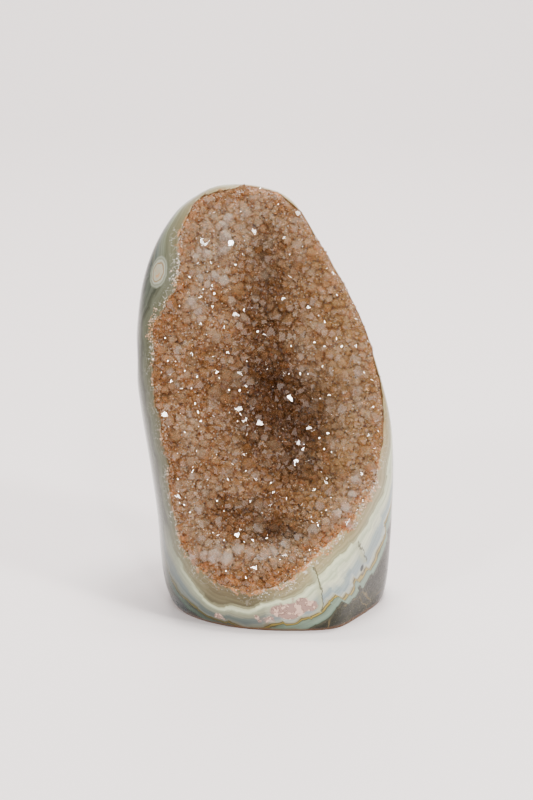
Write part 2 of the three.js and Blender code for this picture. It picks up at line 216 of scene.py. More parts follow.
@dataclass(frozen=True)
class StoneForm:
    """The ground stone's outside and the hollow in its face, in millimetres."""

    back_corner: float = 2.2
    edge_drop: float = 1.2
    hollow_depth: float = 7.5
    hollow_squareness: float = 3.0
    edge_ripples: tuple[tuple[float, float], ...] = ((5.5, 0.75), (2.3, 0.45))
    ripple_limit: float = 0.6
    edge_steps: int = 24

    def section(self, along: np.ndarray) -> dict[str, np.ndarray]:
        """Smooth section values at places along the stone.

        Args:
            along: places from the base, 0, to the top, 1.

        Returns:
            Each of SECTION_KEYS with its values.
        """
        rows = np.array(STONE_SECTIONS)
        rows = np.vstack([2 * rows[0] - rows[1], rows, 2 * rows[-1] - rows[-2]])
        steps = len(STONE_SECTIONS) - 1
        place = np.clip(along, 0, 1) * steps
        first = np.minimum(place.astype(int), steps - 1)
        p = (place - first)[:, None]
        return dict(zip(SECTION_KEYS, between_rows([rows[first + k] for k in range(4)], p).T))

    def along_at(self, height: np.ndarray) -> np.ndarray:
        """Places along the stone where its sections reach the given heights."""
        places = np.linspace(0, 1, 4001)
        return np.interp(height, self.section(places)["z"], places)

    def grind(self, points: np.ndarray, centres: np.ndarray) -> np.ndarray:
        """Presses points behind the ground flats and into the natural pits.

        Args:
            points: points of the round stone, one to a row.
            centres: the middle of each point's section.

        Returns:
            The points where the finished outside has them.
        """
        points = points.copy()
        for direction, reach, blend in GROUND_FLATS:
            normal = np.array(direction) / np.linalg.norm(direction)
            beyond = (points @ normal - reach) / blend
            pressed = blend * np.log1p(np.exp(np.minimum(beyond, 30)))
            points[:, :2] -= pressed[:, None] * normal[:2]
        for at, radius, depth in SKIN_PITS:
            away = np.linalg.norm(points - np.array(at), axis=1)
            dent = depth * np.exp(-((away / radius) ** 2) * 1.5)
            inward = centres - points
            points += inward * (dent / np.maximum(np.linalg.norm(inward, axis=1), 1))[:, None]
        return points

    def outside(self, angle: np.ndarray, along: np.ndarray) -> np.ndarray:
        """Points of the whole outside.

        Args:
            angle: radians, counted from the right towards the back.
            along: places from the base, 0, to the top, 1.

        Returns:
            The points, one to a row.
        """
        section = self.section(along)
        to_right = np.cos(angle) >= 0
        to_back = np.sin(angle) >= 0
        corner = np.where(to_right, section["corner_right"], section["corner_left"])
        corner = np.where(to_back, self.back_corner, corner)
        side = np.where(to_right, section["right"], section["left"])
        side_at = np.where(to_right, section["right_at"], section["left_at"])
        end = np.where(to_back, section["back"], section["front"])
        across = np.abs(np.cos(angle)) ** (2 / corner)
        deep = np.abs(np.sin(angle)) ** (2 / corner)
        x = section["front_at"] + (side - section["front_at"]) * across
        y = side_at + (end - side_at) * deep
        depth = (section["left_at"] + section["right_at"]) / 2
        centres = np.stack([section["front_at"], depth, section["z"]], 1)
        return self.grind(np.stack([x, y, section["z"]], 1), centres)

    def front(self, x: np.ndarray, z: np.ndarray) -> np.ndarray:
        """How far back the front surface lies at points of the front view."""
        section = self.section(self.along_at(z))
        to_right = x > section["front_at"]
        side = np.where(to_right, section["right"], section["left"])
        side_at = np.where(to_right, section["right_at"], section["left_at"])
        corner = np.where(to_right, section["corner_right"], section["corner_left"])
        across = np.clip((x - section["front_at"]) / (side - section["front_at"]), 0, 0.995)
        y = side_at + (section["front"] - side_at) * (1 - across**corner) ** (1 / corner)
        centres = np.stack([section["front_at"], np.full_like(z, 5.0), z], 1)
        return self.grind(np.stack([x, y, z], 1), centres)[:, 1]

    def edge(self) -> np.ndarray:
        """The face's edge in the front view, as a smooth closed curve."""
        corners = np.array(FACE_EDGE)
        p = np.linspace(0, 1, self.edge_steps, endpoint=False)[None, :, None]
        rows = [np.roll(corners, 1 - k, axis=0)[:, None] for k in range(4)]
        curve = between_rows(rows, p).reshape(-1, 2)
        out = curve - np.array(FACE_CENTRE)
        reach = np.hypot(*out.T)
        ripple = sum(height * lattice_noise(*curve.T, size, 31) for size, height in self.edge_ripples)
        angle = np.arctan2(out[:, 1], out[:, 0])
        ripple = np.minimum(ripple, self.ripple_limit) * (1 - RIM_CALM.at(angle)) + EDGE_SPREAD.at(angle)
        return np.array(FACE_CENTRE) + out * (1 + ripple / reach)[:, None]

    def reach_at(self, angle: np.ndarray) -> np.ndarray:
        """How far the face's edge lies from its centre in each direction of the front view."""
        out = self.edge() - np.array(FACE_CENTRE)
        angles = np.arctan2(out[:, 1], out[:, 0])
        order = np.argsort(angles)
        return np.interp(angle, angles[order], np.hypot(*out[order].T), period=2 * math.pi)

    def share_out(self, x: np.ndarray, z: np.ndarray) -> np.ndarray:
        """How far points of the front view lie from the face's centre, as a share of the way out."""
        dx = x - FACE_CENTRE[0]
        dz = z - FACE_CENTRE[1]
        return np.hypot(dx, dz) / self.reach_at(np.arctan2(dz, dx))

    def inside(self, x: np.ndarray, z: np.ndarray) -> tuple[np.ndarray, np.ndarray]:
        """The direction of points from the face's centre, and how far inside its edge they lie."""
        angle = np.arctan2(z - FACE_CENTRE[1], x - FACE_CENTRE[0])
        return angle, np.maximum(0, 1 - self.share_out(x, z)) * self.reach_at(angle)

    def hollow_floor(self, x: np.ndarray, z: np.ndarray) -> np.ndarray:
        """How far back the crystals' footing lies at points of the front view, pools and ledges too."""
        bowl = 1 - np.minimum(1, self.share_out(x, z)) ** self.hollow_squareness
        pools = np.zeros_like(x)
        for at, size, deep in HOLLOW_POOLS:
            away = ((x - at[0]) / size[0]) ** 2 + ((z - at[1]) / size[1]) ** 2
            pools += deep * np.exp(-away) * np.sqrt(bowl)
        return self.front(x, z) + self.edge_drop + self.hollow_depth * bowl + pools

    def shift(self) -> np.ndarray:
        """The move, in millimetres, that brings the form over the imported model's stone."""
        low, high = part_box("agate_stone")
        angle, along = np.meshgrid(np.linspace(0, 2 * math.pi, 193), np.linspace(0, 1, 225))
        points = self.outside(angle.ravel(), along.ravel())
        middle = (points.min(0) + points.max(0)) / 2
        target = (np.array(low) + np.array(high)) / 2 / MM
        return np.array([target[0] - middle[0], target[1] - middle[1], 0.0])


def mesh_object(
    name: str,
    points: np.ndarray,
    faces: Sequence[Sequence[int]],
    shift: np.ndarray,
    marks: dict[str, np.ndarray],
    smooth: bool = True,
) -> bpy.types.Object:
    """Makes an object at the origin from points in the stone's millimetres.

    Args:
        name: the object's name.
        points: one point to a row.
        faces: each face's corners, counterclockwise from outside.
        shift: the move into the shared frame, in millimetres.
        marks: named values, or vectors, for each point, which the finish reads.
        smooth: whether the faces run into each other softly.

    Returns:
        The object, linked to the scene.
    """
    mesh = bpy.data.meshes.new(name)
    mesh.from_pydata(((points + shift) * MM).tolist(), [], faces)
    mesh.update()
    for mark, values in marks.items():
        kind, field = ("FLOAT_VECTOR", "vector") if values.ndim == 2 else ("FLOAT", "value")
        layer = mesh.attributes.new(mark, kind, "POINT")
        layer.data.foreach_set(field, values.astype(np.float32).ravel())
    mesh.polygons.foreach_set("use_smooth", [smooth] * len(mesh.polygons))
    made = bpy.data.objects.new(name, mesh)
    bpy.context.scene.collection.objects.link(made)
    return made


# Shader building

Socket = bpy.types.NodeSocket


class ShaderBench:
    """Places and links the nodes of one material or node group."""

    def __init__(self, tree: bpy.types.NodeTree) -> None:
        """Starts work on a node tree."""
        self.tree = tree

    def node(self, kind: str, **values: object) -> bpy.types.Node:
        """Adds a node and sets its properties by name."""
        made = self.tree.nodes.new(kind)
        for key, value in values.items():
            setattr(made, key, value)
        return made

    def feed(self, socket: Socket, value: object) -> None:
        """Links a socket to the given input, or sets the input's plain value."""
        if isinstance(value, bpy.types.NodeSocket):
            self.tree.links.new(value, socket)
        elif isinstance(value, tuple) and len(value) == 3 and socket.type == "RGBA":
            socket.default_value = (*value, 1.0)
        else:
            socket.default_value = value

    def math(self, operation: str, *values: object, clamp: bool = False) -> Socket:
        """A Math node's result for one, two or three values."""
        made = self.node("ShaderNodeMath", operation=operation, use_clamp=clamp)
        for socket, value in zip(made.inputs, values):
            self.feed(socket, value)
        return made.outputs[0]

    def vector(self, operation: str, first: object, second: object) -> Socket:
        """A Vector Math node's vector result for two vectors."""
        made = self.node("ShaderNodeVectorMath", operation=operation)
        self.feed(made.inputs[0], first)
        self.feed(made.inputs["Scale"] if operation == "SCALE" else made.inputs[1], second)
        return made.outputs[0]

    def mark(self, name: str, output: str = "Fac") -> Socket:
        """A named value that the mesh carries."""
        return self.node("ShaderNodeAttribute", attribute_name=name).outputs[output]

    def millimetres(self) -> Socket:
        """Object coordinates in millimetres."""
        return self.vector("SCALE", self.node("ShaderNodeTexCoord").outputs["Object"], 1 / MM)

    def stretched(self, vector: Socket, scale: Colour) -> Socket:
        """A vector with each direction scaled."""
        made = self.node("ShaderNodeMapping", vector_type="POINT")
        self.feed(made.inputs["Vector"], vector)
        made.inputs["Scale"].default_value = scale
        return made.outputs[0]

    def noise(self, vector: Socket, scale: float, detail: float = 2.0, rough: float = 0.5,
              distort: float = 0.0) -> Socket:
        """Cloudy values from 0 to 1."""
        made = self.node("ShaderNodeTexNoise")
        self.feed(made.inputs["Vector"], vector)
        made.inputs["Scale"].default_value = scale
        made.inputs["Detail"].default_value = detail
        made.inputs["Roughness"].default_value = rough
        made.inputs["Distortion"].default_value = distort
        return made.outputs[0]

    def sway(self, vector: Socket, scale: float, detail: float = 2.0, rough: float = 0.5) -> Socket:
        """Cloudy values from -0.5 to 0.5."""
        return self.math("SUBTRACT", self.noise(vector, scale, detail, rough), 0.5)

    def cells(self, vector: Socket, scale: float, feature: str = "F1", output: str = "Distance") -> Socket:
        """Cell values: the distance to a cell's middle or border, or its random colour."""
        made = self.node("ShaderNodeTexVoronoi", feature=feature)
        self.feed(made.inputs["Vector"], vector)
        made.inputs["Scale"].default_value = scale
        return made.outputs[output]

    def between(self, value: object, low: float, high: float, out_low: float = 0.0,
                out_high: float = 1.0) -> Socket:
        """A value moved smoothly from one range to another, held at its ends."""
        made = self.node("ShaderNodeMapRange", interpolation_type="SMOOTHSTEP")
        self.feed(made.inputs["Value"], value)
        made.inputs["From Min"].default_value = low
        made.inputs["From Max"].default_value = high
        made.inputs["To Min"].default_value = out_low
        made.inputs["To Max"].default_value = out_high
        return made.outputs[0]

    def ramp(self, value: Socket, stops: Sequence[tuple[float, Colour]]) -> Socket:
        """A colour that follows a value through the given stops."""
        made = self.node("ShaderNodeValToRGB")
        self.feed(made.inputs[0], value)
        elements = made.color_ramp.elements
        elements[0].position, elements[0].color = stops[0][0], (*stops[0][1], 1)
        elements[1].position, elements[1].color = stops[-1][0], (*stops[-1][1], 1)
        for place, colour in stops[1:-1]:
            elements.new(place).color = (*colour, 1)
        return made.outputs[0]

    def mix(self, share: object, first: object, second: object, way: str = "MIX") -> Socket:
        """Two colours mixed."""
        made = self.node("ShaderNodeMix", data_type="RGBA", blend_type=way)
        self.feed(made.inputs[0], share)
        self.feed(made.inputs[6], first)
        self.feed(made.inputs[7], second)
        return made.outputs[2]

    def bump(self, height: Socket, strength: float, distance: float) -> Socket:
        """A normal that follows a height, which is given in millimetres."""
        made = self.node("ShaderNodeBump")
        made.inputs["Strength"].default_value = strength
        made.inputs["Distance"].default_value = distance * MM
        self.feed(made.inputs["Height"], height)
        return made.outputs[0]


def new_material(name: str) -> tuple[bpy.types.Material, ShaderBench, bpy.types.Node]:
    """Makes a material.

    Args:
        name: the material's name.

    Returns:
        The material, a bench on its nodes and its Principled shader.
    """
    material = bpy.data.materials.new(name)
    material.use_nodes = True
    bench = ShaderBench(material.node_tree)
    return material, bench, material.node_tree.nodes["Principled BSDF"]


@dataclass(frozen=True)
class AgateFinish:
    """Polished agate: bands that follow the hollow's edge, out to the dark mother rock."""

    roughness: float = 0.09
    ior: float = 1.54
    right_bands: Stops = (
        (0.0, (0.338, 0.266, 0.134)),
        (0.16, (0.265, 0.214, 0.103)),
        (0.30, (0.317, 0.273, 0.140)),
        (0.38, (0.243, 0.214, 0.109)),
        (0.44, (0.354, 0.339, 0.188)),
        (0.465, (0.206, 0.199, 0.103)),
        (0.49, (0.486, 0.517, 0.316)),
        (0.53, (0.603, 0.642, 0.426)),
        (0.60, (0.427, 0.480, 0.316)),
        (0.64, (0.589, 0.620, 0.426)),
        (0.72, (0.486, 0.517, 0.389)),
        (0.78, (0.264, 0.332, 0.315)),
        (0.86, (0.240, 0.299, 0.308)),
        (0.92, (0.416, 0.459, 0.380)),
        (0.955, (0.309, 0.280, 0.165)),
        (0.972, (0.052, 0.038, 0.013)),
        (0.984, (0.350, 0.262, 0.052)),
        (1.002, (0.270, 0.208, 0.046)),
        (1.016, (0.052, 0.046, 0.018)),
        (1.030, (0.147, 0.207, 0.140)),
        (1.10, (0.198, 0.280, 0.213)),
        (1.16, (0.133, 0.192, 0.140)),
        (1.18, (0.022, 0.026, 0.015)),
        (1.205, (0.074, 0.074, 0.043)),
        (1.5, (0.074, 0.074, 0.043)),
    )
    left_bands: Stops = (
        (0.0, (0.110, 0.094, 0.052)),
        (0.22, (0.100, 0.102, 0.064)),
        (0.38, (0.108, 0.114, 0.078)),
        (0.47, (0.070, 0.074, 0.050)),
        (0.53, (0.052, 0.056, 0.039)),
        (0.62, (0.096, 0.104, 0.078)),
        (0.70, (0.066, 0.074, 0.056)),
        (0.80, (0.100, 0.112, 0.088)),
        (0.88, (0.066, 0.076, 0.060)),
        (0.96, (0.104, 0.114, 0.096)),
        (1.04, (0.050, 0.061, 0.053)),
        (1.12, (0.032, 0.042, 0.037)),
        (1.2, (0.026, 0.030, 0.022)),
        (1.5, (0.020, 0.020, 0.013)),
    )
    orange: Colour = (0.42, 0.17, 0.055)
    veil: Colour = (0.70, 0.68, 0.57)
    sugar: Colour = (0.85, 0.82, 0.72)
    pink_stops: Stops = (
        (0.0, (0.70, 0.52, 0.42)),
        (0.36, (0.60, 0.40, 0.305)),
        (0.48, (0.60, 0.40, 0.305)),
        (0.51, (0.14, 0.075, 0.058)),
        (0.56, (0.32, 0.20, 0.16)),
        (0.8, (0.26, 0.165, 0.135)),
    )
    eye_stops: Stops = (
        (0.0, (0.340, 0.306, 0.212)),
        (0.36, (0.340, 0.323, 0.238)),
        (0.50, (0.323, 0.332, 0.255)),
        (0.55, (0.221, 0.119, 0.047)),
        (0.60, (0.255, 0.221, 0.145)),
        (0.68, (0.340, 0.357, 0.289)),
        (0.78, (0.162, 0.170, 0.115)),
        (0.88, (0.246, 0.264, 0.204)),
        (1.0, (0.153, 0.153, 0.102)),
    )
    eye_blot: Colour = (0.44, 0.22, 0.08)
    rock_stops: Stops = (
        (0.28, (0.006, 0.007, 0.003)),
        (0.45, (0.014, 0.015, 0.006)),
        (0.58, (0.027, 0.026, 0.010)),
        (0.75, (0.037, 0.041, 0.020)),
    )
    rock_edge: tuple[float, float] = (1.18, 1.24)
    rock_vein: Colour = (0.20, 0.145, 0.06)
    rock_scratch: Colour = (0.11, 0.115, 0.075)
    scratch_tilt: float = 40.0
    rock_speck: Colour = (0.20, 0.20, 0.15)
    rock_pore: Colour = (0.010, 0.010, 0.008)
    haze_stops: tuple[tuple[float, float], ...] = (
        (0.0, 1.0), (0.40, 1.0), (0.49, 0.1), (0.56, 0.1), (0.64, 0.9), (1.0, 0.9),
    )
    haze_shade: Colour = (0.29, 0.28, 0.25)
    teal_and_shade_colour: Colour = (0.42, 0.50, 0.52)
    crack_lobe: Colour = (0.34, 0.36, 0.22)
    crack_line: Colour = (0.055, 0.050, 0.022)
    pit_floor: Colour = (0.015, 0.025, 0.025)
    base_line: Colour = (0.13, 0.06, 0.028)
    specular: float = 0.24
    worn: float = 0.10
    rock_dullness: float = 0.14

    def build(self) -> bpy.types.Material:
        """Makes the agate material."""
        material, bench, shader = new_material("banded_agate")
        place = bench.millimetres()
        flow = bench.mark("flow", "Vector")
        band = self._wavy(bench, place, flow)
        colour = bench.mix(bench.mark("left_flank"), self._banded(bench, band, self.right_bands),
                           self._banded(bench, band, self.left_bands))
        colour = self._streaks(bench, colour, flow)
        clear = bench.ramp(band, [(at, (value,) * 3) for at, value in self.haze_stops])
        haze = bench.math("MULTIPLY", bench.mark("low"), clear)
        colour = self._shaded(bench, haze, colour, self.haze_shade)
        # partly the agate's own dark teal, partly painted shade: darker and bluer towards the base on the
        # lower left
        colour = self._shaded(bench, bench.mark("dusk"), colour, self.teal_and_shade_colour)
        colour = self._pink_mottle(bench, colour, place)
        colour = self._eye(bench, colour, place)
        rock_share = bench.between(band, *self.rock_edge)
        colour = bench.mix(rock_share, colour, self._rock(bench, place))
        colour = self._marked(bench, self._rimmed(bench, colour, place), place)
        bench.feed(shader.inputs["Base Color"], colour)
        worn = self.roughness + self.worn
        wear = bench.between(bench.noise(place, 0.6, 3.0), 0.3, 0.8, self.roughness, worn)
        dull = bench.between(rock_share, 0, 1, 0.0, self.rock_dullness)
        bench.feed(shader.inputs["Roughness"], bench.math("ADD", dull, wear))
        shader.inputs["IOR"].default_value = self.ior
        shader.inputs["Specular IOR Level"].default_value = self.specular
        bench.feed(shader.inputs["Normal"], bench.bump(bench.noise(place, 1.4, 4.0), 0.25, 0.12))
        return material

    def _shaded(self, bench: ShaderBench, share: Socket, colour: Socket, shade: Colour) -> Socket:
        """A colour darkened towards a shade where the share says so."""
        return bench.mix(share, colour, bench.mix(1.0, colour, shade, "MULTIPLY"))

    def _wavy(self, bench: ShaderBench, place: Socket, flow: Socket) -> Socket:
        """The band position with the waves and scallops that grew in it."""
        scallop = bench.cells(bench.vector("ADD", place, (3.0, 9.0, 2.0)), 0.21, "SMOOTH_F1")
        bent = bench.math("SUBTRACT", bench.mark("band"), 0.025)
        for wave, amount in (
            (bench.sway(place, 0.11), 0.16),
            (scallop, 0.06),
            (bench.sway(bench.stretched(flow, (1.0, 1.0, 0.2)), 1.1), 0.07),
            (bench.sway(bench.stretched(flow, (1.0, 1.0, 0.5)), 0.32, 3.0, 0.6), 0.17),
        ):
            bent = bench.math("MULTIPLY_ADD", wave, amount, bent)
        return bent

    def _banded(self, bench: ShaderBench, band: Socket, stops: Stops) -> Socket:
        """The colour of each band."""
        longest = stops[-1][0]
        return bench.ramp(bench.math("DIVIDE", band, longest),
                          [(place / longest, colour) for place, colour in stops])

    def _streaks(self, bench: ShaderBench, colour: Socket, flow: Socket) -> Socket:
        """Thin paler and darker lines that run along the bands."""
        lines = bench.noise(bench.stretched(flow, (0.16, 0.16, 1.7)), 1.0, 4.0, 0.65, 0.4)
        shade = bench.between(lines, 0.28, 0.72, 0.80, 1.16)
        grey = bench.node("ShaderNodeCombineColor")
        for channel in range(3):
            bench.feed(grey.inputs[channel], shade)
        return bench.mix(1.0, colour, grey.outputs[0], "MULTIPLY")

    def _pink_mottle(self, bench: ShaderBench, colour: Socket, place: Socket) -> Socket:
        """Pink patches with darker mauve blotches in them."""
        patch = bench.math("ADD", bench.mark("pink"), bench.sway(place, 0.28, 3.0))
        blotch = bench.noise(place, 0.62, 4.0, 0.55, 0.3)
        return bench.mix(bench.between(patch, 0.50, 0.62), colour, bench.ramp(blotch, self.pink_stops))

    def _eye(self, bench: ShaderBench, colour: Socket, place: Socket) -> Socket:
        """The small banded eye in the upper left flank."""
        ring = bench.math("MULTIPLY_ADD", bench.sway(place, 0.5), 0.22, bench.mark("eye"))
        blot = bench.between(bench.noise(place, 0.55, 1.0), 0.50, 0.60)
        inner = bench.math("MULTIPLY", blot, bench.between(ring, 0.20, 0.46, 0.85, 0.0))
        core = bench.mix(inner, bench.ramp(ring, self.eye_stops), self.eye_blot)
        return bench.mix(bench.between(ring, 0.86, 1.02, 1.0, 0.0), colour, core)

    def _rock(self, bench: ShaderBench, place: Socket) -> Socket:
        """The dark mother rock outside the agate, with specks, scratches and ochre veins."""
        colour = bench.ramp(bench.noise(place, 0.16, 5.0, 0.62), self.rock_stops)
        vein = bench.cells(self._drifted(bench, place), 0.05, "DISTANCE_TO_EDGE")
        broken = bench.between(bench.noise(place, 0.09), 0.50, 0.60)
        vein = bench.math("MULTIPLY", bench.between(vein, 0.0, 0.014, 0.6, 0.0), broken)
        colour = bench.mix(vein, colour, self.rock_vein)
        tilted = bench.node("ShaderNodeVectorRotate", rotation_type="Y_AXIS")
        bench.feed(tilted.inputs["Vector"], place)
        tilted.inputs["Angle"].default_value = math.radians(self.scratch_tilt)
        scratch = bench.noise(bench.stretched(tilted.outputs[0], (0.25, 1.0, 3.4)), 1.0, 3.0, 0.7)
        colour = bench.mix(bench.between(scratch, 0.58, 0.72, 0.0, 0.35), colour, self.rock_scratch)
        speck = bench.cells(place, 0.9)
        colour = bench.mix(bench.between(speck, 0.08, 0.18, 0.45, 0.0), colour, self.rock_speck)
        pore = bench.cells(bench.vector("ADD", place, (37.0, 11.0, 5.0)), 0.55)
        return bench.mix(bench.between(pore, 0.06, 0.14, 0.8, 0.0), colour, self.rock_pore)

    def _drifted(self, bench: ShaderBench, place: Socket) -> Socket:
        """The place pushed aside by a slow random vector, which bends a pattern."""
        made = bench.node("ShaderNodeTexNoise")
        bench.feed(made.inputs["Vector"], place)
        made.inputs["Scale"].default_value = 0.06
        made.inputs["Detail"].default_value = 3.0
        push = bench.vector("SUBTRACT", made.outputs[1], (0.5, 0.5, 0.5))
        return bench.vector("ADD", place, bench.vector("SCALE", push, 14.0))

    def _rimmed(self, bench: ShaderBench, colour: Socket, place: Socket) -> Socket:
        """Rust by the crystals, and the crackle veils and grains in the haze beside them."""
        rim = bench.mark("rim")
        ragged = bench.math("MULTIPLY_ADD", bench.noise(place, 0.45, 3.0, 0.6), -9.0, rim)
        stain = bench.math("MULTIPLY", bench.between(ragged, -5.3, -3.9, 0.9, 0.0), bench.mark("rust"))
        colour = bench.mix(stain, colour, self.orange)
        haze = bench.math("MULTIPLY_ADD", bench.noise(place, 0.22), 9.0, rim)
        haze = bench.math("MULTIPLY", bench.between(haze, 4.5, 9.0, 1.0, 0.0), bench.mark("sugar"))
        crackle = bench.cells(self._drifted(bench, place), 0.62, "DISTANCE_TO_EDGE")
        broken = bench.between(bench.noise(place, 0.8), 0.45, 0.62)
        veil = bench.math("MULTIPLY", bench.between(crackle, 0.0, 0.09, 0.8, 0.0), broken)
        colour = bench.mix(bench.math("MULTIPLY", veil, haze), colour, self.veil)
        thick = bench.between(bench.noise(bench.vector("ADD", place, (5.0, 1.0, 8.0)), 0.35), 0.48, 0.60)
        grains = bench.math("MULTIPLY", bench.between(bench.cells(place, 1.3), 0.16, 0.34, 0.9, 0.0), thick)
        return bench.mix(bench.math("MULTIPLY", grains, haze), colour, self.sugar)

    def _marked(self, bench: ShaderBench, colour: Socket, place: Socket) -> Socket:
        """The cracks with the clear lobes beside them, the dark pits and the brown line at the base."""
        beside, share = bench.mark("crack"), bench.mark("cracked")
        lobe = bench.math("MULTIPLY", bench.between(beside, 0.1, 2.6, 0.75, 0.0), share)
        lobe = bench.math("MULTIPLY", lobe, bench.between(beside, 0.0, 0.1))
        colour = bench.mix(lobe, colour, self.crack_lobe)
        crack = bench.math("MULTIPLY_ADD", bench.sway(place, 0.45, 3.0, 0.6), 2.4, beside)
        crack = bench.between(bench.math("ABSOLUTE", crack), 0.05, 0.36, 0.8, 0.0)
        colour = bench.mix(bench.math("MULTIPLY", crack, share), colour, self.crack_line)
        colour = bench.mix(bench.between(bench.mark("pit"), 0.15, 0.6), colour, self.pit_floor)
        height = bench.node("ShaderNodeSeparateXYZ")
        bench.feed(height.inputs[0], place)
        base = bench.math("ADD", height.outputs[2], bench.noise(place, 0.3))
        return bench.mix(bench.between(base, 0.9, 2.0, 0.8, 0.0), colour, self.base_line)


class IronStainAndShade:
    """The node group that rusts the lining's colours, and darkens them where the shade mark is low: partly
    iron stain, partly painted shade in the deep pools.
    """

    def __init__(self) -> None:
        """Builds the group."""
        self.group = bpy.data.node_groups.new("iron_stain", "ShaderNodeTree")
        for name in ("Colour", "Rust", "Shadow"):
            self.group.interface.new_socket(name, in_out="INPUT", socket_type="NodeSocketColor")
        self.group.interface.new_socket("Colour", in_out="OUTPUT", socket_type="NodeSocketColor")
        bench = ShaderBench(self.group)
        given = bench.node("NodeGroupInput").outputs
        place = bench.millimetres()
        broken = bench.between(bench.noise(place, 0.38, 3.0), 0.40, 0.60)
        cloud = bench.between(bench.noise(place, 0.15, 3.0), 0.52, 0.68, 0.0, 0.5)
        rusty = bench.math("MULTIPLY", bench.math("ADD", bench.mark("rust"), cloud, clamp=True), broken)
        colour = bench.mix(rusty, given["Colour"], given["Rust"])
        # painted shade, with some iron stain: the colour is multiplied by the Shadow input where the shade
        # mark is low, in the deep pools and the centre
        dark = bench.mix(1.0, colour, given["Shadow"], "MULTIPLY")
        bench.feed(bench.node("NodeGroupOutput").inputs[0], bench.mix(bench.mark("shade"), dark, colour))

    def over(self, bench: ShaderBench, colour: Socket, rust: Colour, shadow: Colour) -> Socket:
        """Stains a colour with rust and darkens it with painted shade where the shade mark is low.

        Args:
            bench: where the material is made.
            colour: the colour of the clean mineral.
            rust: the colour of the rusty places.
            shadow: what the colour is multiplied with in the darkest places, the painted shade of the deep
                pools.

        Returns:
            The stained and shaded colour.
        """
        made = bench.node("ShaderNodeGroup", node_tree=self.group)
        bench.feed(made.inputs["Colour"], colour)
        bench.feed(made.inputs["Rust"], rust)
        bench.feed(made.inputs["Shadow"], shadow)
        return made.outputs[0]


@dataclass(frozen=True)
class DruseGroundFinish:
    """The stained ground that the small crystals grow from, kept very dark as painted shade in the gaps
    between them.
    """

    roughness: float = 0.42
    # the ground's own brown grain, darkened as painted shade for the gaps between crystals
    grain_and_gap_shade_stops: Stops = (
        (0.25, (0.020, 0.008, 0.003)),
        (0.42, (0.085, 0.033, 0.011)),
        (0.58, (0.21, 0.095, 0.036)),
        (0.75, (0.33, 0.18, 0.08)),
    )
    speck: Colour = (0.012, 0.008, 0.006)
    rust: Colour = (0.48, 0.19, 0.055)
    shadow: Colour = (0.30, 0.21, 0.15)

    def build(self, stain: IronStainAndShade) -> bpy.types.Material:
        """Makes the ground's material."""
        material, bench, shader = new_material("stained_quartz_ground")
        place = bench.millimetres()
        # painted shade: the dark ground shows through the clear crystals as shadowed gaps
        colour = bench.ramp(bench.noise(place, 0.8, 4.0, 0.65), self.grain_and_gap_shade_stops)
        colour = stain.over(bench, colour, self.rust, self.shadow)
        specks = bench.between(bench.cells(place, 0.8), 0.10, 0.22, 0.9, 0.0)
        colour = bench.mix(specks, colour, self.speck)
        bench.feed(shader.inputs["Base Color"], colour)
        shader.inputs["Roughness"].default_value = self.roughness
        bench.feed(shader.inputs["Normal"], bench.bump(bench.noise(place, 1.6, 3.0), 0.6, 0.5))
        return material


@dataclass(frozen=True)
class QuartzFinish:
    """Clear to milky quartz with iron stain, painted shade in the deep pools and painted light on the top and
    right of the hollow, see-through by plain transmission and absorption.
    """

    name: str
    transmission: float
    roughness: float
    stained: Colour
    milky: Colour
    density: float
    glow: float
    rust: Colour = (0.86, 0.44, 0.18)
    golden: Colour = (0.78, 0.49, 0.21)
    shadow: Colour = (0.25, 0.16, 0.10)
    absorption: Colour = (0.90, 0.62, 0.40)
    ior: float = 1.544
    specular: float = 0.30
    milkiness: float = 0.28
    varied: float = 0.5
    paled_and_lit: float = 0.65
    golden_and_lit_share: float = 0.7
    glow_radius: Colour = (1.0, 0.55, 0.32)
    glow_depth: float = 1.6

    def build(self, stain: IronStainAndShade) -> bpy.types.Material:
        """Makes the crystals' material."""
        material, bench, shader = new_material(self.name)
        place = bench.millimetres()
        milk = bench.math("MULTIPLY_ADD", bench.sway(place, 0.13, 3.0, 0.6), 1.6, self.milkiness)
        milk = bench.math("MULTIPLY_ADD", bench.mark("tint"), self.varied, milk)
        # partly painted light: the pale mark makes the top and right of the hollow milkier and lighter
        milk = bench.math("MULTIPLY_ADD", bench.mark("pale"), self.paled_and_lit, milk)
        # partly painted light: the gold colour is far lighter than the stained one and lightens the right
        # side of the hollow, besides its real gold hue
        golden_and_lit_amount = bench.math("MULTIPLY", bench.mark("golden"), self.golden_and_lit_share)
        colour = bench.mix(golden_and_lit_amount, self.stained, self.golden)
        colour = bench.mix(bench.between(milk, 0.35, 1.15), colour, self.milky)
        bench.feed(shader.inputs["Base Color"], stain.over(bench, colour, self.rust, self.shadow))
        shader.inputs["Roughness"].default_value = self.roughness
        shader.inputs["IOR"].default_value = self.ior
        shader.inputs["Specular IOR Level"].default_value = self.specular
        shader.inputs["Subsurface Weight"].default_value = self.glow
        shader.inputs["Subsurface Radius"].default_value = self.glow_radius
        shader.inputs["Subsurface Scale"].default_value = self.glow_depth * MM
        shader.inputs["Transmission Weight"].default_value = self.transmission
        absorb = bench.node("ShaderNodeVolumeAbsorption")
        absorb.inputs["Color"].default_value = (*self.absorption, 1)
        absorb.inputs["Density"].default_value = self.density
        bench.feed(material.node_tree.nodes["Material Output"].inputs["Volume"], absorb.outputs[0])
        return material


@dataclass(frozen=True)
class DarkPinFinish:
    """Near-black iron mineral in tiny grains."""

    name: str = "dark_mineral"
    colour: Colour = (0.018, 0.010, 0.007)
    roughness: float = 0.3

    def build(self, _stain: IronStainAndShade) -> bpy.types.Material:
        """Makes the grains' material, which no rust shows on."""
        material, _, shader = new_material(self.name)
        shader.inputs["Base Color"].default_value = (*self.colour, 1)
        shader.inputs["Roughness"].default_value = self.roughness
        return material


# The polished agate

